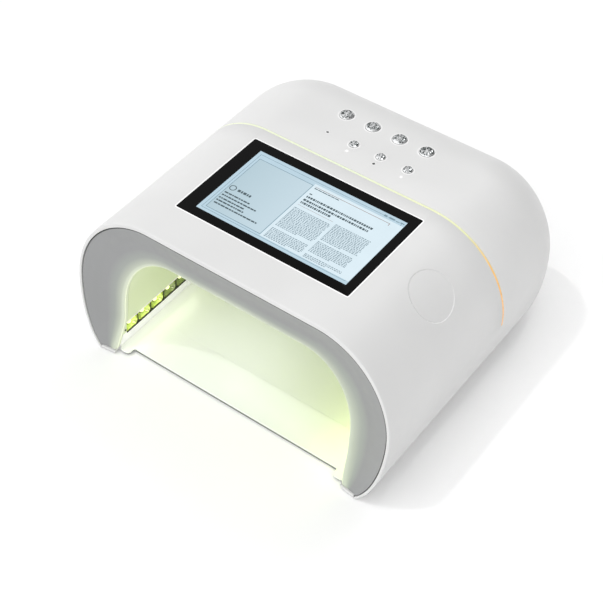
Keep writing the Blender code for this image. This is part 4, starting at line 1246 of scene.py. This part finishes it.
def shoulder_point(y, run):
    """A point and its normal on the right shoulder, run millimetres along the arch from the crown's end."""
    wide = HALF_WIDTH - SHELL_FLAT
    tall = TOP - WAIST
    angle = math.pi / 2
    step = 0.004
    while run > 0:
        run -= math.hypot(wide * math.sin(angle), tall * math.cos(angle)) * step
        angle -= step
    point = Vector((SHELL_FLAT + wide * math.cos(angle), y, WAIST + tall * math.sin(angle)))
    return point, Vector((math.cos(angle) / wide, 0.0, math.sin(angle) / tall)).normalized()


def shoulder_ring(*section):
    """A ring of one cross section, (offset, lift) pairs, round a circle on the right shoulder."""
    rings = []
    for across, along in circle(1.0, 96):
        ring = []
        for offset, lift in section:
            radius = RING_RADIUS + offset
            point, normal = shoulder_point(RING_Y + radius * along, RING_RUN + radius * across)
            ring.append(point + normal * lift)
        rings.append(ring)
    shape = add_tube(bmesh.new(), rings, joined=True)
    return shape


def make_ring_inlay():
    shape = shoulder_ring((-0.2, -0.28), (-0.14, -0.24), (0.44, -0.03), (0.44, -0.28))
    # The inlay's material paints a highlight on the ring's outer arc.
    add_piece("shoulder_ring", shape, "ring")


# Rear and underside


def make_rear():
    face = PANEL_HIGH.y
    shape = bmesh.new()
    add_prism(shape, REAR_ARCH.inset(-10.0).points(foot=PANEL_LOW.z), PANEL_LOW.y, face, rearward())
    panel = add_piece("rear_cover", shape, "shell", "rear_panel")
    inlet = behind("power_inlet", face)
    holes = bmesh.new()
    vent = rounded_outline(1.5, 13.0, 1.45)
    for i in range(VENTS):
        place = rearward(VENT_PITCH * (i - VENTS // 2), face, VENT_Z)
        add_prism(holes, vent, -9.0, 9.0, place)
    add_prism(holes, circle(INLET_HOLE, 48), -9.0, 9.0, inlet)
    cut(panel, holes)

    sleeve = [(0.0, -15.0), (6.8, -15.0), (6.8, -3.0), (5.3, -3.0), (5.3, 0.3), (5.0, 0.6), (3.6, 0.6),
              (3.2, 0.2), (3.2, -8.4), (0.0, -8.4)]
    pin = [(0.0, -8.1), (1.0, -8.1), (1.0, -1.4), (0.85, -0.9), (0.5, -0.65), (0.0, -0.6)]
    for name, profile, segments, look, node, angle in (
            ("power_socket", sleeve, 48, "black", "power_inlet", 30),
            ("power_socket_pin", pin, 24, "plating", "inlet_pin", 40)):
        shape = add_turned(bmesh.new(), profile, segments, inlet)
        add_piece(name, shape, look, node, angle=angle)


def make_screw(node, place):
    """A pan head screw with a cross recess; place turns (u, v, w) so that w points out of the head."""
    profile = [(0.0, -10.3), (1.4, -10.3), (1.4, -1.3), (2.8, -1.3), (2.8, -0.6), (2.6, -0.3), (2.1, -0.1),
               (1.5, 0.0), (0.0, 0.0)]
    shape = add_turned(bmesh.new(), profile, 36, place)
    screw = add_piece(node + "_head", shape, "plating", node, angle=30)
    bars = []
    for half_u, half_v in ((1.45, 0.26), (0.26, 1.45)):
        bar = bmesh.new()
        add_prism(bar, rounded_outline(half_u, half_v, 0.1, 2), -0.8, 0.5, place)
        bars.append(bar)
    cut(screw, *bars, angle=30)


def make_screws():
    for node in REAR_SCREWS:
        make_screw(node, behind(node, span(node)[1].y))
    for node in BASE_SCREWS:
        centre, low = centre_of(node), span(node)[0].z
        make_screw(node, lambda u, v, w, c=centre, tip=low: (c.x + u, c.y + v, tip - w))


def make_feet():
    for node in FEET:
        low, high = span(node)
        half = (high - low) / 2
        outline = rounded_outline(half.x, half.y, half.x - 0.1, 10)
        layers = [(shrunk(outline, 0.35), low.z), (shrunk(outline, 0.12), low.z + 0.12),
                  (outline, low.z + 0.35), (outline, high.z)]
        shape = add_stack(bmesh.new(), layers, over(node))
        add_piece(node + "_pad", shape, "rubber", node, angle=30)


# Studio


WORLD_LEVEL = 0.778
WORLD_LEAN = (-0.62, -0.42, 0.10)
BACKDROP_GREY = 0.93
FLOOR_SIZE = 15000.0
KEY_POWER = 0.36
KEY_ANGLE = 1.6
KEY_DIRECTION = Vector((0.395, 0.24, -1.0))


def aim(item, name, direction):
    """Adds a light or camera to the scene, turned to look in a direction."""
    made = bpy.data.objects.new(name, item)
    made.rotation_mode = "QUATERNION"
    made.rotation_quaternion = direction.to_track_quat("-Z", "Y")
    bpy.context.scene.collection.objects.link(made)
    return made


def add_area_light(name, location, target, size, power, colour=(1.0, 1.0, 1.0), shown=True, spread=180):
    data = bpy.data.lights.new(name, "AREA")
    data.shape = "RECTANGLE"
    data.size, data.size_y = size
    data.energy = power
    data.color = colour
    data.spread = math.radians(spread)
    light = aim(data, name, Vector(target) - Vector(location))
    light.location = location
    light.visible_camera = shown


def make_world():
    """A pale room that is brighter on one side, and an even backdrop behind the lamp."""
    room = Nodes("studio", world=True, Color=(1.0, 1.0, 1.0, 1.0))
    lean = room.add("ShaderNodeVectorMath")
    lean.operation = "DOT_PRODUCT"
    lean.inputs[1].default_value = WORLD_LEAN
    room.link(room.coords.outputs["Generated"], lean.inputs[0])
    level = room.ranged(lean.outputs["Value"], 0.0, 2 * WORLD_LEVEL, -1.0)
    room.link(level, room.shader.inputs["Strength"])
    backdrop = room.add("ShaderNodeBackground", Color=(BACKDROP_GREY, BACKDROP_GREY, BACKDROP_GREY, 1.0))
    path = room.add("ShaderNodeLightPath")
    choice = room.add("ShaderNodeMixShader")
    sources = path.outputs["Is Camera Ray"], room.shader.outputs[0], backdrop.outputs[0]
    for source, socket in zip(sources, choice.inputs):
        room.link(source, socket)
    room.link(choice.outputs[0], room.tree.nodes["World Output"].inputs["Surface"])
    bpy.context.scene.world = room.owner


def make_floor():
    floor = Nodes("studio_floor", Roughness=0.9)
    floor.base(floor.ramp(floor.noise(60.0), (0.3, 0.955), (0.7, 0.965)))
    shape = bmesh.new()
    bmesh.ops.create_grid(shape, x_segments=8, y_segments=8, size=FLOOR_SIZE)
    plane = object_from("studio_floor", shape)
    plane.data.materials.append(floor.owner)


def make_lights():
    """Softboxes round the lamp, a sun for the shadow, and the glow in the chamber; in metres."""
    add_area_light("rear_softbox", (0.05, 1.15, 1.45), (0.0, 0.0, 0.05), (0.8, 0.8), 4.3)
    key = bpy.data.lights.new("key_light", "SUN")
    key.energy = KEY_POWER
    key.angle = math.radians(KEY_ANGLE)
    aim(key, "key_light", KEY_DIRECTION)
    add_area_light("right_softbox", (1.05, -0.45, 0.75), (0.10, 0.0, 0.02), (0.6, 0.6), 2.6)
    add_area_light("front_softbox", (-0.02, -0.32, 0.40), (-0.01, -0.10, 0.12), (0.45, 0.2), 0.12,
                   shown=False)
    add_area_light("right_fill", (0.31, 0.03, 1.5), (0.29, 0.02, 0.0), (0.15, 0.15), 0.05, spread=16)
    x, y = -0.035, FRONT * MM + 0.066
    add_area_light("chamber_roof_light", (x, y, (MOUTH_TOP - 1.5) * MM), (x, y - 0.01, 0.0), (0.10, 0.05),
                   0.0095, (0.97, 0.98, 1.0), shown=False, spread=90)
    for side, sign, power, lime in (("left", -1, 0.0045, (0.96, 1.0, 0.80)),
                                    ("right", 1, 0.0105, (0.90, 1.0, 0.32))):
        x, y = sign * (MOUTH_HALF_WIDTH - 1.0) * MM, FRONT * MM + 0.045
        add_area_light(f"chamber_{side}_light", (x, y, 0.021), (sign * 0.05, y, 0.0), (0.08, 0.008), power,
                       lime, shown=False)


def make_camera():
    azimuth, elevation = math.radians(36.64), math.radians(46.44)
    target = Vector((-0.0219, 0.0002, 0.0))
    distance = 1.0121
    level = math.cos(elevation)
    back = Vector((math.sin(azimuth) * level, -math.cos(azimuth) * level, math.sin(elevation)))
    data = bpy.data.cameras.new("camera")
    data.sensor_width = 36.0
    data.lens = 85.05
    data.clip_start = 0.05
    data.clip_end = 20.0
    camera = aim(data, "camera", -back)
    camera.location = target + back * distance
    bpy.context.scene.camera = camera


dress_kept_nodes()
make_shell()
make_light_line()
make_surround()
make_skirt()
make_lip()
make_liner()
make_side_leds()
make_top_leds()
make_tray()
make_display()
make_buttons()
make_dots()
make_ring_inlay()
make_rear()
make_screws()
make_feet()
make_world()
make_floor()
make_lights()
make_camera()
bpy.context.scene.view_settings.view_transform = "Standard"
